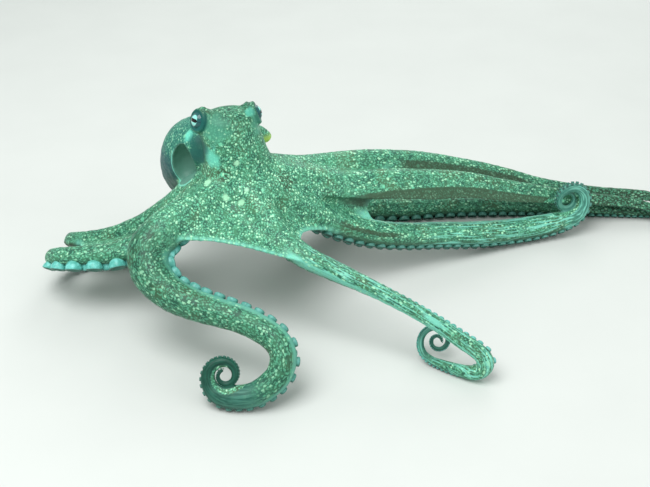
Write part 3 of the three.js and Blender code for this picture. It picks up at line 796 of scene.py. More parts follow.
# %% Smooth the skin
CROWN_ROUNDS = 160
ARM_ROUNDS = 5
CROWN_FULL = 70.0                 # millimetres from the crown's middle that are fully smoothed
CROWN_END = 135.0
CROWN_MIDDLE = np.array([0.0, 8.0, 112.0])
HEM_KEPT = (3, 16)                # the pull grows from nothing to full between these distances
LID_KEPT = (13, 24)
MOUTH_KEPT = (1.05, 1.35)         # this pair in parts of the mouth's own size
HALF_WAY = 0.5                    # the strongest pull, in parts of the way to the neighbours


def smoothed(points, pairs, weight, rounds):
    """Each round moves every point by weight of the way to the mean of its neighbours."""
    points = points.copy()
    a, b = np.concatenate([pairs[:, 0], pairs[:, 1]]), np.concatenate([pairs[:, 1], pairs[:, 0]])
    live = weight[a] > 0
    a, b = a[live], b[live]
    count = np.maximum(np.bincount(a, minlength=len(points)), 1)
    for _ in range(rounds):
        for axis in range(3):
            total = np.bincount(a, points[b, axis], minlength=len(points))
            points[:, axis] += weight * (total / count - points[:, axis])
    return points


pairs = edge_pairs(skin_quads)
crown_distance = np.linalg.norm(skin_points - CROWN_MIDDLE, axis=1)
crown_pull = HALF_WAY * (1 - smoothstep(CROWN_FULL, CROWN_END, crown_distance))
crown_pull *= smoothstep(*HEM_KEPT, hem_distance) * smoothstep(*LID_KEPT, lid_distance)
mouth_distance = np.linalg.norm((skin_points - MANTLE_MOUTH) / MANTLE_MOUTH_SIZE, axis=1)
crown_pull *= smoothstep(*MOUTH_KEPT, mouth_distance)
crown_pull[crown_pull < 0.01] = 0
skin_points = smoothed(skin_points, pairs, crown_pull, int(CROWN_ROUNDS * (FINE_VOXEL / VOXEL) ** 2))
skin_points = smoothed(skin_points, pairs, np.full(len(skin_points), HALF_WAY), ARM_ROUNDS)
skin_points[:, 2] = np.maximum(skin_points[:, 2], 0.0)
print("smoothed:", int((crown_pull > 0).sum()), "crown vertices,", len(pairs), "edges")

# %% [markdown]
# ### Fine relief
# Live skin is never even. It carries low pimples, called papillae, and soft folds. Here every
# vertex is pushed along its normal by a little noise, so that the relief is real and shows in the
# outline. Finer grain than the mesh can hold is left to the material's bump.

# %% Relief
RELIEF_SIZE = 5.5                 # millimetres from one swelling to the next
RELIEF_HIGH = 0.35


def vertex_normals(points, quads):
    diagonal = np.cross(points[quads[:, 2]] - points[quads[:, 0]], points[quads[:, 3]] - points[quads[:, 1]])
    normals = np.zeros_like(points)
    for corner in range(4):
        for axis in range(3):
            normals[:, axis] += np.bincount(quads[:, corner], diagonal[:, axis], minlength=len(points))
    return normals / np.maximum(np.linalg.norm(normals, axis=1, keepdims=True), 1e-9)


where = locate(skin_points)
normals = vertex_normals(skin_points, skin_quads)
swell = np.array([noise.noise(Vector(p / RELIEF_SIZE)) for p in skin_points])
calm = smoothstep(2.0, 5.0, where["radius"]) * smoothstep(10, 14, lid_distance)
skin_points = skin_points + normals * (swell * RELIEF_HIGH * calm)[:, None]
skin_points[:, 2] = np.maximum(skin_points[:, 2], 0.0)
print("relief added, highest", round(float(np.abs(swell).max() * RELIEF_HIGH), 2), "mm")

# %% [markdown]
# ### Painting by place
# The material needs to know more than a texture can tell it. Numbers stored on the vertices,
# called attributes, carry that: how pale, how brown, how deep blue and how plain the skin is, and
# where painted highlights and painted shade go.

# %% Attributes on the skin
MARKS = {                         # places on the skin and their radii, in drawn millimetres
    "cyan": [((-26, -7, 146), 9), ((8, 12, 180), 4.5), ((-50, 27, 151), 5)],
    "cream": [((-13, -25, 116), 3.0), ((1, -28, 113), 3.2), ((-3, -12, 143), 2.4),
              ((5, -22, 122), 2.2), ((-29, -15, 126), 3.8)],
    "brown_marks_and_shade": [((-37, 3, 121), 5.5), ((-14, -14, 133), 7), ((38, -2, 121), 10)],
    # neck is painted shade in the crease where the head meets the mantle.
    "neck_shade": [((-34, 5, 151), 12), ((-38, 9, 145), 11), ((-39, 13, 138), 10), ((-41, 14, 150), 10)],
    "face": [((-22, -7, 174), 14), ((14, 12, 169), 9)],
}
# Painted shade: the arms are darkened where they lie low near the floor and away from the light.
SHADE = {                         # how dark each arm is, from the crown to its tip
    "right_1": (0.0, 0.6, 0.45, 0.35, 0.4, 1.0, 1.0), "left_1": (0.15, 0.2, 0.2, 0.2, 0.1, 0.5, 0.7),
    "right_2": (0.2, 0.15, 0.1, 0.2, 0.3), "right_3": (0.2, 0.25, 0.25, 0.3, 0.4),
    "right_4": (0.1, 0.15, 0.3, 0.6, 0.7), "left_2": (0.0, 0.0, 0.0, 0.15, 0.25, 0.3),
    "left_3": (0.0, 0.0, 0.1, 0.4, 0.6, 0.6), "left_4": (0.0, 0.0, 0.1, 0.4, 0.6, 0.6),
}
COILS = {"right_1": 0.67, "left_1": 0.74, "left_2": 0.70}       # where each smooth grey coil starts
# Painted shade starts here on the far arms, which trail in shade.
FAR_ARM_SHADE_START = 335.0              # millimetres to the animal's left where the far arms turn brown
LID_DARK = {"right": 1.0, "left": 0.4}
CROWN_OF_HEAD = (162.0, 182.0)    # heights between which the head's top darkens
RAGGED = 0.45                     # how uneven the edges of the marks are
FLOW_LONG = 0.72                   # the dots are drawn out along the arms by one over this


def marked(points, marks):
    """One at the middle of each mark, fading to nothing past its radius, with a ragged edge."""
    field = np.zeros(len(points))
    for place, radius in marks:
        away = np.linalg.norm(points - np.array(place, float), axis=1) * (1 + RAGGED * swell)
        field = np.maximum(field, smoothstep(1.3 * radius, 0.55 * radius, away))
    return field


def of_arm(name, first=0.0, last=1e6, soft=20.0):
    """One on a length of one arm, with soft ends, in millimetres of its run."""
    run = where["run"]
    return (where["arm"] == ARM_NAMES.index(name)) * smoothstep(first - soft, first, run) * smoothstep(
        last + soft, last, run)


on_arm = smoothstep(1.8, 1.35, where["reach"]) * smoothstep(60, 85, where["run"])
out, across = where["out"], where["across"]
# Painted shade on the undersides: the sucker side of the arms and every face that looks down get the dark
# brown layer.
under = smoothstep(0.35, 0.75, out) * on_arm
painted_downward_shade = smoothstep(-0.1, -0.7, normals[:, 2])
# Painted highlight along the webs' free edges, where the thin hem catches the light.
painted_hem_light = np.exp(-(hem_distance / 3.2) ** 2)
_, dull_distance = nearest(skin_points, hems[DULL_HEM])
painted_hem_light = painted_hem_light * (1 - 0.8 * np.exp(-(dull_distance / 5) ** 2))
# Painted highlight along the lit upper edges of left_2, left_1 and right_1.
painted_edge_light = of_arm("left_2", 110, 340) * smoothstep(-0.70, -0.88, out) * smoothstep(-0.62, -0.3, across)
painted_edge_light = painted_edge_light * smoothstep(0.6, 0.1, normals[:, 1])
painted_edge_light = painted_edge_light + of_arm("left_1", 80, 250) * smoothstep(-0.1, -0.4, across) * smoothstep(-0.3, -0.6, out)
painted_edge_light = painted_edge_light + 0.7 * of_arm("right_1", 90, 330) * smoothstep(0.25, 0.5, out) * smoothstep(0.2, 0.5, across)
painted_edge_light = painted_edge_light * smoothstep(1.6, 1.2, where["reach"])
# Painted shade under the overhanging flaps of left_3 and left_4, in the creases along left_2 and right_3, and
# over the far arms; it goes in with the brown marks.
fold = of_arm("left_3", 95, 330) * smoothstep(0.30, 0.50, out)
fold = fold + of_arm("left_4", 150, 290) * smoothstep(-0.40, -0.15, out)
fold = fold * smoothstep(-0.45, -0.8, across)
painted_groove_shade = of_arm("left_2", 85, 135) * smoothstep(-0.5, -0.75, across)
painted_groove_shade = painted_groove_shade * smoothstep(0.24, 0.1, np.abs(out - 0.06))
painted_groove_shade = painted_groove_shade + of_arm("right_3", 90, 190) * smoothstep(0.4, 0.7, across) * smoothstep(-0.1, 0.2, out)
far_arm_shade = smoothstep(FAR_ARM_SHADE_START - 15, FAR_ARM_SHADE_START + 25, skin_points[:, 0]) * on_arm
far_arm_shade = far_arm_shade * (where["arm"] != ARM_NAMES.index("left_2"))
mantle_line = spline(np.array(MANTLE_RINGS, float)[:, :3], 8)
_, mantle_distance = nearest(skin_points, mantle_line)
arm_free = smoothstep(1.15, 1.5, where["reach"])
mantle = smoothstep(43, 37, mantle_distance) * smoothstep(12, 26, skin_points[:, 1]) * arm_free
mantle = mantle * smoothstep(-18, -30, skin_points[:, 0])
deep = mantle * smoothstep(136, 114, skin_points[:, 2])
mouth_distance = np.linalg.norm((skin_points - MANTLE_MOUTH) / MANTLE_MOUTH_SIZE, axis=1)
inside = smoothstep(1.10, 1.02, mouth_distance)
rim_side = smoothstep(4, -6, (skin_points[:, 0] - MANTLE_MOUTH[0]) + (skin_points[:, 2] - MANTLE_MOUTH[2]))
rim = np.exp(-((mouth_distance - 1.13) / 0.05) ** 2) * rim_side
_, funnel_distance = nearest(skin_points, np.array([FUNNEL_RINGS[-1][:3], FUNNEL_RINGS[-2][:3]], float))
funnel = smoothstep(14, 9, funnel_distance) * smoothstep(148, 141, skin_points[:, 2])
lid = np.zeros(len(skin_points))
for side, eye in EYES.items():
    away = skin_points - eye
    far = np.linalg.norm(away, axis=1)
    facing = away @ looks(side)[0] / np.maximum(far, 1e-6)
    lid = np.maximum(lid, LID_DARK[side] * smoothstep(11.4, 10.0, far) * smoothstep(0.02, 0.30, facing))
shade, coil = np.zeros(len(skin_points)), np.zeros(len(skin_points))
for name, keys in SHADE.items():
    mine = where["arm"] == ARM_NAMES.index(name)
    shade = np.where(mine, np.interp(where["part"], np.linspace(0, 1, len(keys)), keys), shade)
for name, start in COILS.items():
    mine = where["arm"] == ARM_NAMES.index(name)
    coil = np.where(mine, smoothstep(start, start + 0.08, where["part"]) * on_arm, coil)
striped = of_arm("left_1", 90, 330) + of_arm("left_2", 210, 360, 60)
face = 0.7 * marked(skin_points, MARKS["face"])
neck_shade = 0.85 * marked(skin_points, MARKS["neck_shade"])
attributes = dict(
    # pale is painted highlight on the hems and arm edges, plus the pale rim of the mantle's mouth; brown is
    # painted shade on the undersides.
    pale=np.clip(painted_hem_light + painted_edge_light + rim, 0, 1), brown=np.clip(under + painted_downward_shade * 0.8, 0, 1),
    # Real brown marks, together with painted shade on the folds, grooves and far arms.
    brown_marks_and_shade=np.clip(marked(skin_points, MARKS["brown_marks_and_shade"]) * 0.8 + fold + painted_groove_shade + 0.8 * far_arm_shade, 0, 1),
    mantle=mantle, deep=deep, inside=inside, funnel=funnel, lid=lid, coil=coil, face=face, neck_shade=neck_shade,
    # shade is painted shade: the arms' painted shade from SHADE, plus a darker top of the head.
    shade=np.clip(shade * smoothstep(40, 100, where["run"]) * on_arm
                  + 0.45 * smoothstep(*CROWN_OF_HEAD, skin_points[:, 2]), 0, 1),
    cyan=marked(skin_points, MARKS["cyan"]),
    cream=marked(skin_points, MARKS["cream"]), on_arm=on_arm, striped=striped,
    plain=np.clip(coil + under + inside + lid + 0.75 * face + neck_shade + 0.8 * fold + 0.8 * painted_groove_shade + rim, 0, 1),
)
flow = np.stack([where["run"] * FLOW_LONG, across * where["radius"], out * where["radius"]], 1) * MM


def store(mesh, name, values):
    """Numbers or vectors stored on a mesh's vertices."""
    values = np.asarray(values, np.float32)
    kind, field = ("FLOAT", "value") if values.ndim == 1 else ("FLOAT_VECTOR", "vector")
    layer = mesh.attributes.new(name, kind, "POINT")
    layer.data.foreach_set(field, values.ravel())


def quad_mesh(name, points, quads):
    """A smooth-shaded mesh in the frame from drawn points and an array of quads."""
    mesh = bpy.data.meshes.new(name)
    mesh.vertices.add(len(points))
    mesh.vertices.foreach_set("co", to_frame(points).astype(np.float32).ravel())
    mesh.loops.add(quads.size)
    mesh.loops.foreach_set("vertex_index", quads.astype(np.int32).ravel())
    mesh.polygons.add(len(quads))
    mesh.polygons.foreach_set("loop_start", np.arange(0, quads.size, 4, dtype=np.int32))
    mesh.polygons.foreach_set("use_smooth", np.ones(len(quads), bool))
    mesh.update(calc_edges=True)
    mesh.validate()
    return mesh


skin_mesh = quad_mesh("skin", skin_points, skin_quads)
for key, values in attributes.items():
    store(skin_mesh, key, values)
store(skin_mesh, "flow", flow)
skin = bpy.data.objects.new("skin", skin_mesh)
scene.collection.objects.link(skin)
print("skin made with attributes:", ", ".join(attributes))

# %% [markdown]
# ## Suckers
# Each arm carries two rows of suckers that alternate from side to side. One sucker is a short
# stalk with a cup on it: a raised rim, a shallow dish and a deep hole in the middle. It's turned
# from a profile. About a thousand copies, sized to the arm and set square to its underside, are
# written straight into one mesh, which is quick and stays light.

# %% Suckers
SUCKER_PROFILE = [                # radius and height, in sucker radii
    (0.48, -1.15), (0.56, -0.90), (0.78, -0.62), (0.95, -0.28), (1.02, 0.08), (1.01, 0.30),
    (0.92, 0.40), (0.78, 0.36), (0.57, 0.18), (0.36, 0.08), (0.27, -0.04), (0.22, -0.30),
]
SUCKER_SEAT = 0.80                # where the arm's sucker band lies, in arm radii
SUCKER_STALK = 0.36               # how far a cup's middle stands off that band, in sucker radii
SUCKER_APART = 27.0               # degrees from the middle of the band to each row
SUCKER_SPLAY = 19.0               # degrees that a cup leans outwards
SUCKER_PITCH = 1.22               # distance to the next one, in sucker radii
SUCKER_START = 34.0               # millimetres from an arm's start
SUCKER_MOST = 7.6
SUCKER_LEAST = 0.5


def sucker_places(line, cup, lean):
    """Places, outward and level directions, and sizes of an arm's suckers."""
    rows = []
    run, hand = SUCKER_START, 1
    while run < line["run"][-1] - 1.0:
        read = {key: np.array([np.interp(run, line["run"], column) for column in line[key].T])
                for key in ("place", "oral", "side", "heading")}
        radius = np.interp(run, line["run"], line["radius"])
        grown = smoothstep(0, 120, run)
        wide = np.interp(run / line["run"][-1], np.linspace(0, 1, len(cup)), cup)
        size = np.clip(radius * wide * (0.72 + 0.28 * grown), SUCKER_LEAST, SUCKER_MOST)
        seat, tilt = math.radians(lean + hand * SUCKER_APART), math.radians(lean + hand * SUCKER_SPLAY)
        down = min(math.cos(seat), SUCKER_SEAT) * SECTION_DEEP * radius
        place = read["place"] + read["oral"] * down + read["side"] * math.sin(seat) * SECTION_WIDE * radius
        outward = read["oral"] * math.cos(tilt) + read["side"] * math.sin(tilt)
        place = place + outward * size * SUCKER_STALK
        rows.append((place, outward, read["heading"], size, run / line["run"][-1]))
        run += size * SUCKER_PITCH
        hand = -hand
    return rows


def turned_cups(rows):
    """All the suckers of one arm: points, quads, how deep in the cup and how far out each lies."""
    profile = np.array(SUCKER_PROFILE)
    points, quads, cups, parts, base = [], [], [], [], 0
    for place, outward, heading, size, part in rows:
        around = 16 if size > 2.5 else 10
        angle = np.arange(around) / around * 2 * math.pi
        level = unit(np.cross(outward, heading))
        along = np.cross(level, outward)
        circle = np.cos(angle)[:, None] * level + np.sin(angle)[:, None] * along
        rings = profile[:, 0, None, None] * circle + profile[:, 1, None, None] * outward
        points.append((place + rings * size).reshape(-1, 3))
        cups.append(np.repeat(np.arange(len(profile)) / (len(profile) - 1), around))
        parts.append(np.full(around * len(profile), part))
        ring = np.arange(around)
        after = (ring + 1) % around
        for r in range(len(profile) - 1):
            a, b = base + r * around, base + (r + 1) * around
            quads.append(np.stack([a + ring, a + after, b + after, b + ring], 1))
        base += around * len(profile)
    return np.vstack(points), np.vstack(quads), np.concatenate(cups), np.concatenate(parts)


# Painted shade on the suckers of arms that lie in shade, from the crown to the tip.
SUCKER_SHADE = {                    # how dark each arm's suckers are, from the crown to its tip
    "right_1": (0.1, 0.35, 0.5, 0.55, 0.7, 0.9, 0.9), "left_1": (0.4, 0.4), "right_2": (0.1, 0.1),
    "left_2": (0.75, 0.75), "right_3": (0.6, 0.6), "left_3": (0.9, 0.9), "right_4": (0.8, 0.8),
    "left_4": (0.9, 0.9),
}
cup_points, cup_quads, cup_values, cup_shades, base = [], [], [], [], 0
for name, arm in ARMS.items():
    p, q, c, part = turned_cups(sucker_places(lines[name], arm["cup"], arm["lean"]))
    painted_sucker_shade = SUCKER_SHADE[name]
    cup_points.append(p)
    cup_quads.append(q + base)
    cup_values.append(c)
    cup_shades.append(np.interp(part, np.linspace(0, 1, len(painted_sucker_shade)), painted_sucker_shade))
    base += len(p)
cup_points = np.vstack(cup_points)
cup_points[:, 2] = np.maximum(cup_points[:, 2], 0.15)
suckers_mesh = quad_mesh("suckers", cup_points, np.vstack(cup_quads))
store(suckers_mesh, "cup", np.concatenate(cup_values))
store(suckers_mesh, "painted_sucker_shade", np.concatenate(cup_shades))
suckers = bpy.data.objects.new("suckers", suckers_mesh)
scene.collection.objects.link(suckers)
print("suckers:", len(suckers_mesh.polygons), "faces")

# %% [markdown]
# ## Eyes
# The eyeball is a ball with a slit pupil that stays level. The iris round it is pearly, and the
# white shows best above and below the slit. The ball carries two attributes, how far along and
# how far up the eye each point lies, and the material draws the pupil from them.

# %% Eyeballs
EYE_AROUND = 64
EYE_DOWN = 48
eyes = {}
for side, centre in EYES.items():
    forward, level, upright = looks(side)
    points, faces = ball((0, 0, 0), (EYE_RADIUS,) * 3, EYE_AROUND, EYE_DOWN)
    mesh = bpy.data.meshes.new("eye_" + side)
    placed = points @ np.stack([level, upright, forward]) + centre
    mesh.from_pydata(to_frame(placed).tolist(), [], faces)
    mesh.update()
    mesh.polygons.foreach_set("use_smooth", np.ones(len(mesh.polygons), bool))
    store(mesh, "along", points[:, 0] / EYE_RADIUS)
    store(mesh, "up", points[:, 1] / EYE_RADIUS)
    eyes[side] = bpy.data.objects.new("eyeball_" + side, mesh)
    scene.collection.objects.link(eyes[side])
print("eyeballs:", len(eyes))

# %% [markdown]
# ## The skin's finish
# Octopus skin is soft and wet, with a thin mucus film. Its colour comes from tiny sacs of pigment:
# a dense scatter of pale dots, one to two millimetres wide, on a green ground that drifts to olive
# brown. The hems and some arm edges carry a painted highlight, the undersides carry painted shade,
# and the lower mantle is a deep blue green.
# Image textures could carry all this, but cell and noise textures need no unwrapping, and their
# sizes are given in millimetres below.

# %% The pattern's sizes
GRAIN_APART = 1.6                 # millimetres between the grains of the fine mesh of colour
GRAIN_LEAST = 0.36                # a grain's least radius, in parts of that distance
DOT_APART = 2.3                   # millimetres between the brighter dots
DOT_LEAST = 0.25                  # a dot's radius, in parts of that distance
DOT_MOST = 0.42
DOT_SOFT = 0.13
SPOT_APART = 9.0                  # the few big spots
DRIFT_APART = 9.0                 # how far apart the pulls are that shift the dots out of line
DRIFT_FAR = 3.0
PATCH = 26.0
MOTTLE = 7.0
STREAK = 1.6                      # millimetres between the lines along a coil
STREAK_LONG = (0.08, 1.0, 1.0)    # the lines are stretched along the arm
FINE_GRAIN = 0.9


def per_metre(millimetres):
    """The texture scale whose cells are this many millimetres wide."""
    return 1 / (millimetres * MM)


print("dots are", DOT_APART, "mm apart, a texture scale of", round(per_metre(DOT_APART)))

# %% [markdown]
# ### Dots, grains and lines
# A Voronoi texture splits the skin into cells, and a dot is what lies near a cell's middle. On the
# arms the cells follow the stored flow, so the dots are drawn out along the arm as they are on the
# animal. Elsewhere they follow the object's own coordinates. Two settings come up so often that
# they get names: a smooth Map Range takes its value at input 0, its limits at 1 and 2 and what it
# gives there at 3 and 4, and a colour Mix takes its factor at 0 and its two colours at 6 and 7.
# A Mix of plain numbers has them at 2 and 3.

# %% The pattern on the skin
SMOOTH = dict(interpolation_type="SMOOTHSTEP")
COLOURS = dict(data_type="RGBA")

living_skin = new_material("wet_octopus_skin")
m = living_skin
stored = {}
for name in attributes:
    stored[name] = node(m, "Attribute", attribute_name=name).outputs["Fac"]


def speckle(material, vector, apart, least):
    """Soft round dots: how far a point is inside one, and the dot's own random number."""
    cells = node(material, "TexVoronoi", {"Vector": vector, "Scale": per_metre(apart)})
    luck = node(material, "SeparateColor", {"Color": cells.outputs["Color"]})
    size = node(material, "MapRange", {0: luck, 3: least, 4: DOT_MOST}, **SMOOTH)
    edge = node(material, "Math", {0: cells, 1: size}, operation="SUBTRACT")
    return node(material, "MapRange", {0: edge, 1: DOT_SOFT, 2: -DOT_SOFT}, **SMOOTH), luck


position = node(m, "TexCoord").outputs["Object"]
drift, patches, mottle, grain = [
    node(m, "TexNoise", {"Vector": position, "Scale": per_metre(apart), "Detail": detail})
    for apart, detail in ((DRIFT_APART, 2.0), (PATCH, 3.0), (MOTTLE, 4.0), (FINE_GRAIN, 2.0))]
centred = node(m, "VectorMath", {0: drift.outputs["Color"], 1: (0.5, 0.5, 0.5)}, operation="SUBTRACT")
nudge = node(m, "VectorMath", {0: centred, "Scale": DRIFT_FAR * MM}, operation="SCALE")
warped = node(m, "VectorMath", {0: position, 1: nudge}, operation="ADD")
along_arm = node(m, "Attribute", attribute_name="flow").outputs["Vector"]
arm_warped = node(m, "VectorMath", {0: along_arm, 1: nudge}, operation="ADD")
crown_dot, crown_luck = speckle(m, warped, DOT_APART, DOT_LEAST)
arm_dot, arm_luck = speckle(m, arm_warped, DOT_APART, DOT_LEAST)
crown_grain, _ = speckle(m, warped, GRAIN_APART, GRAIN_LEAST)
arm_grain, _ = speckle(m, arm_warped, GRAIN_APART, GRAIN_LEAST)
fine_dot, fine_luck, grains = [
    node(m, "Mix", {0: stored["on_arm"], 2: on_crown, 3: on_arms}) for on_crown, on_arms in (
        (crown_dot, arm_dot), (crown_luck, arm_luck), (crown_grain, arm_grain))]
spots = node(m, "TexVoronoi", {"Vector": warped, "Scale": per_metre(SPOT_APART)})
spot_luck = node(m, "SeparateColor", {"Color": spots.outputs["Color"]})
spot_size = node(m, "MapRange", {0: spot_luck, 1: 0.62, 2: 1.0, 3: 0.0, 4: 0.24}, **SMOOTH)
spot_edge = node(m, "Math", {0: spots, 1: spot_size}, operation="SUBTRACT")
spot = node(m, "MapRange", {0: spot_edge, 1: 0.05, 2: -0.08}, **SMOOTH)
streaks = node(m, "VectorMath", {0: along_arm, 1: STREAK_LONG}, operation="MULTIPLY")
streak_lines = node(m, "TexNoise", {"Vector": streaks, "Scale": per_metre(STREAK), "Detail": 2.0})
print("pattern nodes:", len(m.node_tree.nodes))

# %% [markdown]
# ### Colour in layers
# Under the dots the skin is green, darker and browner in patches, and the numbers stored on it lay
# more colours over that, painted highlights and painted shade among them. Grains and dots show fully
# on the back, and hardly at all on plain skin or the lower mantle. The marks, the painted shade at
# the neck, the lids and the funnel lie on top. Each layer is one Mix node, and its share is how much
# it covers at the most. Last, the painted shade stored on the skin multiplies the colour darker.

# %% Colour layers
ramps = []
for numbers in (                  # an input, the range it is read over, and what it becomes there
        (mottle, 0.35, 0.65), (patches, 0.52, 0.66), (stored["plain"], 0.0, 1.0, 1.0, 0.08),
        (stored["deep"], 0.0, 1.0, 1.0, 0.12), (stored["mantle"], 0.0, 1.0, 1.0, 0.6),
        (fine_luck, 0.0, 1.0, 0.5, 1.0), (fine_luck, 0.45, 1.0), (streak_lines, 0.38, 0.62),
        (streak_lines, 0.50, 0.62)):
    ramps.append(node(m, "MapRange", dict(enumerate(numbers)), **SMOOTH))
olive, brownish, bare, sparse, faint, strength, creamy, lined, lit = ramps
shown = node(m, "Math", {0: bare, 1: sparse}, operation="MULTIPLY")
shown = node(m, "Math", {0: shown, 1: faint}, operation="MULTIPLY")
fine = node(m, "Math", {0: fine_dot, 1: strength}, operation="MULTIPLY")
fine, big, meshed, striped_lines = [
    node(m, "Math", {0: pattern, 1: limit}, operation="MULTIPLY")
    for pattern, limit in ((fine, shown), (spot, shown), (grains, shown), (lit, stored["striped"]))]
dots = node(m, "Math", {0: fine, 1: big}, operation="MAXIMUM")
dot_colour = node(m, "Mix", {0: creamy, 6: paint("#70d0a8"), 7: paint("#b4f2c8")}, **COLOURS)
coil_colour = node(m, "Mix", {0: lined, 6: paint("#418577"), 7: paint("#6fb4a2")}, **COLOURS)

# Painted light in this table: brown is painted shade on the undersides, pale a painted highlight on hems and
# arm edges, neck painted shade in the crease behind the head, and the brown marks carry painted shade on
# folds, grooves and the far arms as well.
LAYERS = [                        # where the layer shows, its greatest share, and its colour
    (olive, 1.0, "#488766"), (brownish, 0.7, "#4f7050"), ("mantle", 1.0, "#206c60"),
    ("deep", 1.0, "#075458"), ("face", 1.0, "#58aa90"), ("brown", 1.0, "#3c6650"),
    ("brown_marks_and_shade", 1.0, "#37523c"), ("pale", 0.85, "#8ce8d2"), ("coil", 1.0, coil_colour),
    (meshed, 0.72, "#72c8a2"), (dots, 1.0, dot_colour), (striped_lines, 0.75, "#8ce8d2"),
    ("cyan", 0.7, "#7aecd2"), ("cream", 0.8, "#b4f2c8"), ("neck_shade", 1.0, "#175c56"),
    ("lid", 1.0, "#176c66"), ("inside", 1.0, "#5a8c7c"), ("funnel", 1.0, "#bfe070"),
]
colour = paint("#2c6450")
for shows, share, laid in LAYERS:
    cover = node(m, "Math", {0: stored.get(shows, shows), 1: share}, operation="MULTIPLY")
    laid = paint(laid) if isinstance(laid, str) else laid
    colour = node(m, "Mix", {0: cover, 6: colour, 7: laid}, **COLOURS)
# The painted shade stored on the skin is multiplied into the colour here.
darker = node(m, "Mix", {0: 1.0, 6: colour, 7: paint("#467a70")}, blend_type="MULTIPLY", **COLOURS)
colour = node(m, "Mix", {0: stored["shade"], 6: colour, 7: darker}, **COLOURS)
print("colour layers:", len(LAYERS))

# %% [markdown]
# ### Wet relief
# The dots stand a little proud, the mottling and a fine grain go between them, and a coil has low
# lines along it. A thin coat stands for the mucus. Its refraction is close to that of water.

# %% Living skin
BUMP_HIGH = 0.6                   # millimetres

height = 0.0
for source, share in ((dots, 0.6), (mottle, 0.5), (grain, 0.25), (streak_lines, stored["coil"])):
    part = node(m, "Math", {0: source, 1: share}, operation="MULTIPLY")
    height = node(m, "Math", {0: height, 1: part}, operation="ADD")
bump = node(m, "Bump", {"Height": height, "Strength": 0.45, "Distance": BUMP_HIGH * MM})
wet = node(m, "MapRange", {0: mottle, 1: 0.3, 2: 0.7, 3: 0.42, 4: 0.58}, **SMOOTH)
shader = node(m, "BsdfPrincipled", {
    "Base Color": colour, "Roughness": wet, "Normal": bump, "IOR": 1.34,
    "Coat Weight": 0.05, "Coat Roughness": 0.3,
})
node(m, "OutputMaterial", {"Surface": shader})
skin.data.materials.append(living_skin)
print("living skin:", len(m.node_tree.nodes), "nodes")

# %% [markdown]
# ## The suckers' finish
# Suckers are smooth and pale, almost pearly at the rim. The dish and the hole in its middle are
# painted darker, as painted shade in the hollow of the cup. On shaded arms the whole sucker carries
# painted shade, and painted shade darkens what faces down.

# %% Sucker skin
CLOUD = 4.0                       # millimetres
RIDGES = 0.8
RIDGE_HIGH = 0.3

sucker_skin = new_material("pale_sucker_skin")
m = sucker_skin
cup = node(m, "Attribute", attribute_name="cup").outputs["Fac"]
painted_sucker_shade = node(m, "Attribute", attribute_name="painted_sucker_shade").outputs["Fac"]
position = node(m, "TexCoord").outputs["Object"]
cloud = node(m, "TexNoise", {"Vector": position, "Scale": per_metre(CLOUD), "Detail": 3.0})
cloudy = node(m, "MapRange", {0: cloud, 1: 0.35, 2: 0.65}, **SMOOTH)
wall = node(m, "Mix", {0: cloudy, 6: paint("#58b8ac"), 7: paint("#84e2da")}, **COLOURS)
colour = paint("#5aa58c")
# The dish and the hole are painted darker: painted shade in the hollow of the cup.
for low, high, laid in (          # the wall over the stalk, then the lip, the dish and the hole
        (0.05, 0.25, wall), (0.40, 0.55, paint("#62a594")),
        (0.62, 0.82, paint("#3f7d70")), (0.84, 0.95, paint("#23524a"))):
    cover = node(m, "MapRange", {0: cup, 1: low, 2: high}, **SMOOTH)
    colour = node(m, "Mix", {0: cover, 6: colour, 7: laid}, **COLOURS)
# Painted shade for suckers on shaded arms, darker inside the cup.
inward = node(m, "MapRange", {0: cup, 1: 0.35, 2: 0.60}, **SMOOTH)
shaded_sucker_colour = node(m, "Mix", {0: inward, 6: paint("#3f6c5c"), 7: paint("#27493f")}, **COLOURS)
colour = node(m, "Mix", {0: painted_sucker_shade, 6: colour, 7: shaded_sucker_colour}, **COLOURS)
# Painted shade on the faces of the suckers that look down.
facing = node(m, "SeparateXYZ", {0: node(m, "NewGeometry").outputs["Normal"]}).outputs["Z"]
below = node(m, "MapRange", {0: facing, 1: 0.25, 2: -0.45, 3: 0.0, 4: 0.8}, **SMOOTH)
colour = node(m, "Mix", {0: below, 6: colour, 7: paint("#2c5a4e")}, **COLOURS)
ridges = node(m, "TexNoise", {"Vector": position, "Scale": per_metre(RIDGES), "Detail": 2.0})
bump = node(m, "Bump", {"Height": ridges, "Strength": 0.3, "Distance": RIDGE_HIGH * MM})
wet = node(m, "MapRange", {0: cloud, 1: 0.3, 2: 0.7, 3: 0.32, 4: 0.45}, **SMOOTH)
shader = node(m, "BsdfPrincipled", {
    "Base Color": colour, "Roughness": wet, "Normal": bump, "IOR": 1.38,
    "Coat Weight": 0.15, "Coat Roughness": 0.2,
})
node(m, "OutputMaterial", {"Surface": shader})
suckers.data.materials.append(sucker_skin)
print("sucker skin:", len(m.node_tree.nodes), "nodes")

# %% [markdown]
# ## The eyes' finish
# A wet cornea over a dark ball. The slit is drawn where the eye's own height is small, and the
# pearly iris above and below it fades into the dark rim.

# %% Wet eye
PEARL_LONG = 0.44                 # the pearly patch's half lengths, in eye radii
PEARL_HIGH = 0.58
STREAKS = 1.4                     # millimetres

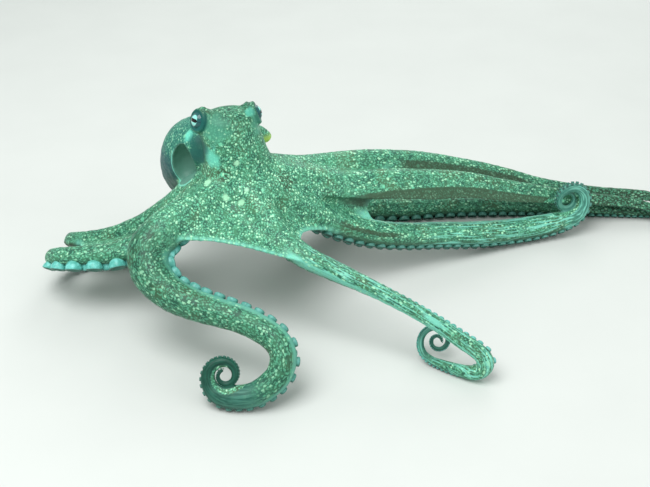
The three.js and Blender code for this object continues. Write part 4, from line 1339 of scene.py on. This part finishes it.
wet_eye = new_material("wet_cornea")
m = wet_eye
sizes = []
for name in ("along", "up"):
    side_of = node(m, "Attribute", attribute_name=name).outputs["Fac"]
    sizes.append(node(m, "Math", {0: side_of}, operation="ABSOLUTE"))
along, high = sizes
slit_height = node(m, "MapRange", {0: along, 1: 0.30, 2: 0.50, 3: 0.17, 4: 0.0}, **SMOOTH)
slit_edge = node(m, "Math", {0: high, 1: slit_height}, operation="SUBTRACT")
slit = node(m, "MapRange", {0: slit_edge, 1: 0.035, 2: -0.005}, **SMOOTH)
oval = 0.0
for measure, limit in ((along, PEARL_LONG), (high, PEARL_HIGH)):
    part = node(m, "Math", {0: measure, 1: limit}, operation="DIVIDE")
    square = node(m, "Math", {0: part, 1: 2.0}, operation="POWER")
    oval = node(m, "Math", {0: oval, 1: square}, operation="ADD")
pearl = node(m, "MapRange", {0: oval, 1: 1.1, 2: 0.7}, **SMOOTH)
streak = node(m, "TexNoise", {"Scale": per_metre(STREAKS), "Detail": 2.0})
dull = node(m, "MapRange", {0: streak, 1: 0.35, 2: 0.65}, **SMOOTH)
bright = node(m, "MapRange", {0: streak, 1: 0.3, 2: 0.7}, **SMOOTH)
ball_colour = node(m, "Mix", {0: dull, 6: paint("#12474a"), 7: paint("#1f6262")}, **COLOURS)
pearl_colour = node(m, "Mix", {0: bright, 6: paint("#7cd8cc"), 7: paint("#b0f4ea")}, **COLOURS)
colour = node(m, "Mix", {0: pearl, 6: ball_colour, 7: pearl_colour}, **COLOURS)
colour = node(m, "Mix", {0: slit, 6: colour, 7: paint("#05090b")}, **COLOURS)
wet = node(m, "MapRange", {0: slit, 3: 0.16, 4: 0.1}, **SMOOTH)
shader = node(m, "BsdfPrincipled", {
    "Base Color": colour, "Roughness": wet, "IOR": 1.376,
    "Coat Weight": 0.3, "Coat Roughness": 0.06,
})
node(m, "OutputMaterial", {"Surface": shader})
for eye in eyes.values():
    eye.data.materials.append(wet_eye)
print("wet eye:", len(m.node_tree.nodes), "nodes")

# %% [markdown]
# ## Into the frame
# Every piece rides on the frame's one body. The skin stands for all the nodes of flesh, the
# eyeballs for the frame's two eyes, and the suckers ride along.

# %% Ride, replace and finish
FLESH = [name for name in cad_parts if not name.startswith("eye")]
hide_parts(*FLESH)
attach(skin, "root")
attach(suckers, "root")
for side, eye in eyes.items():
    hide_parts("eye_" + side)
    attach(eye, "root")
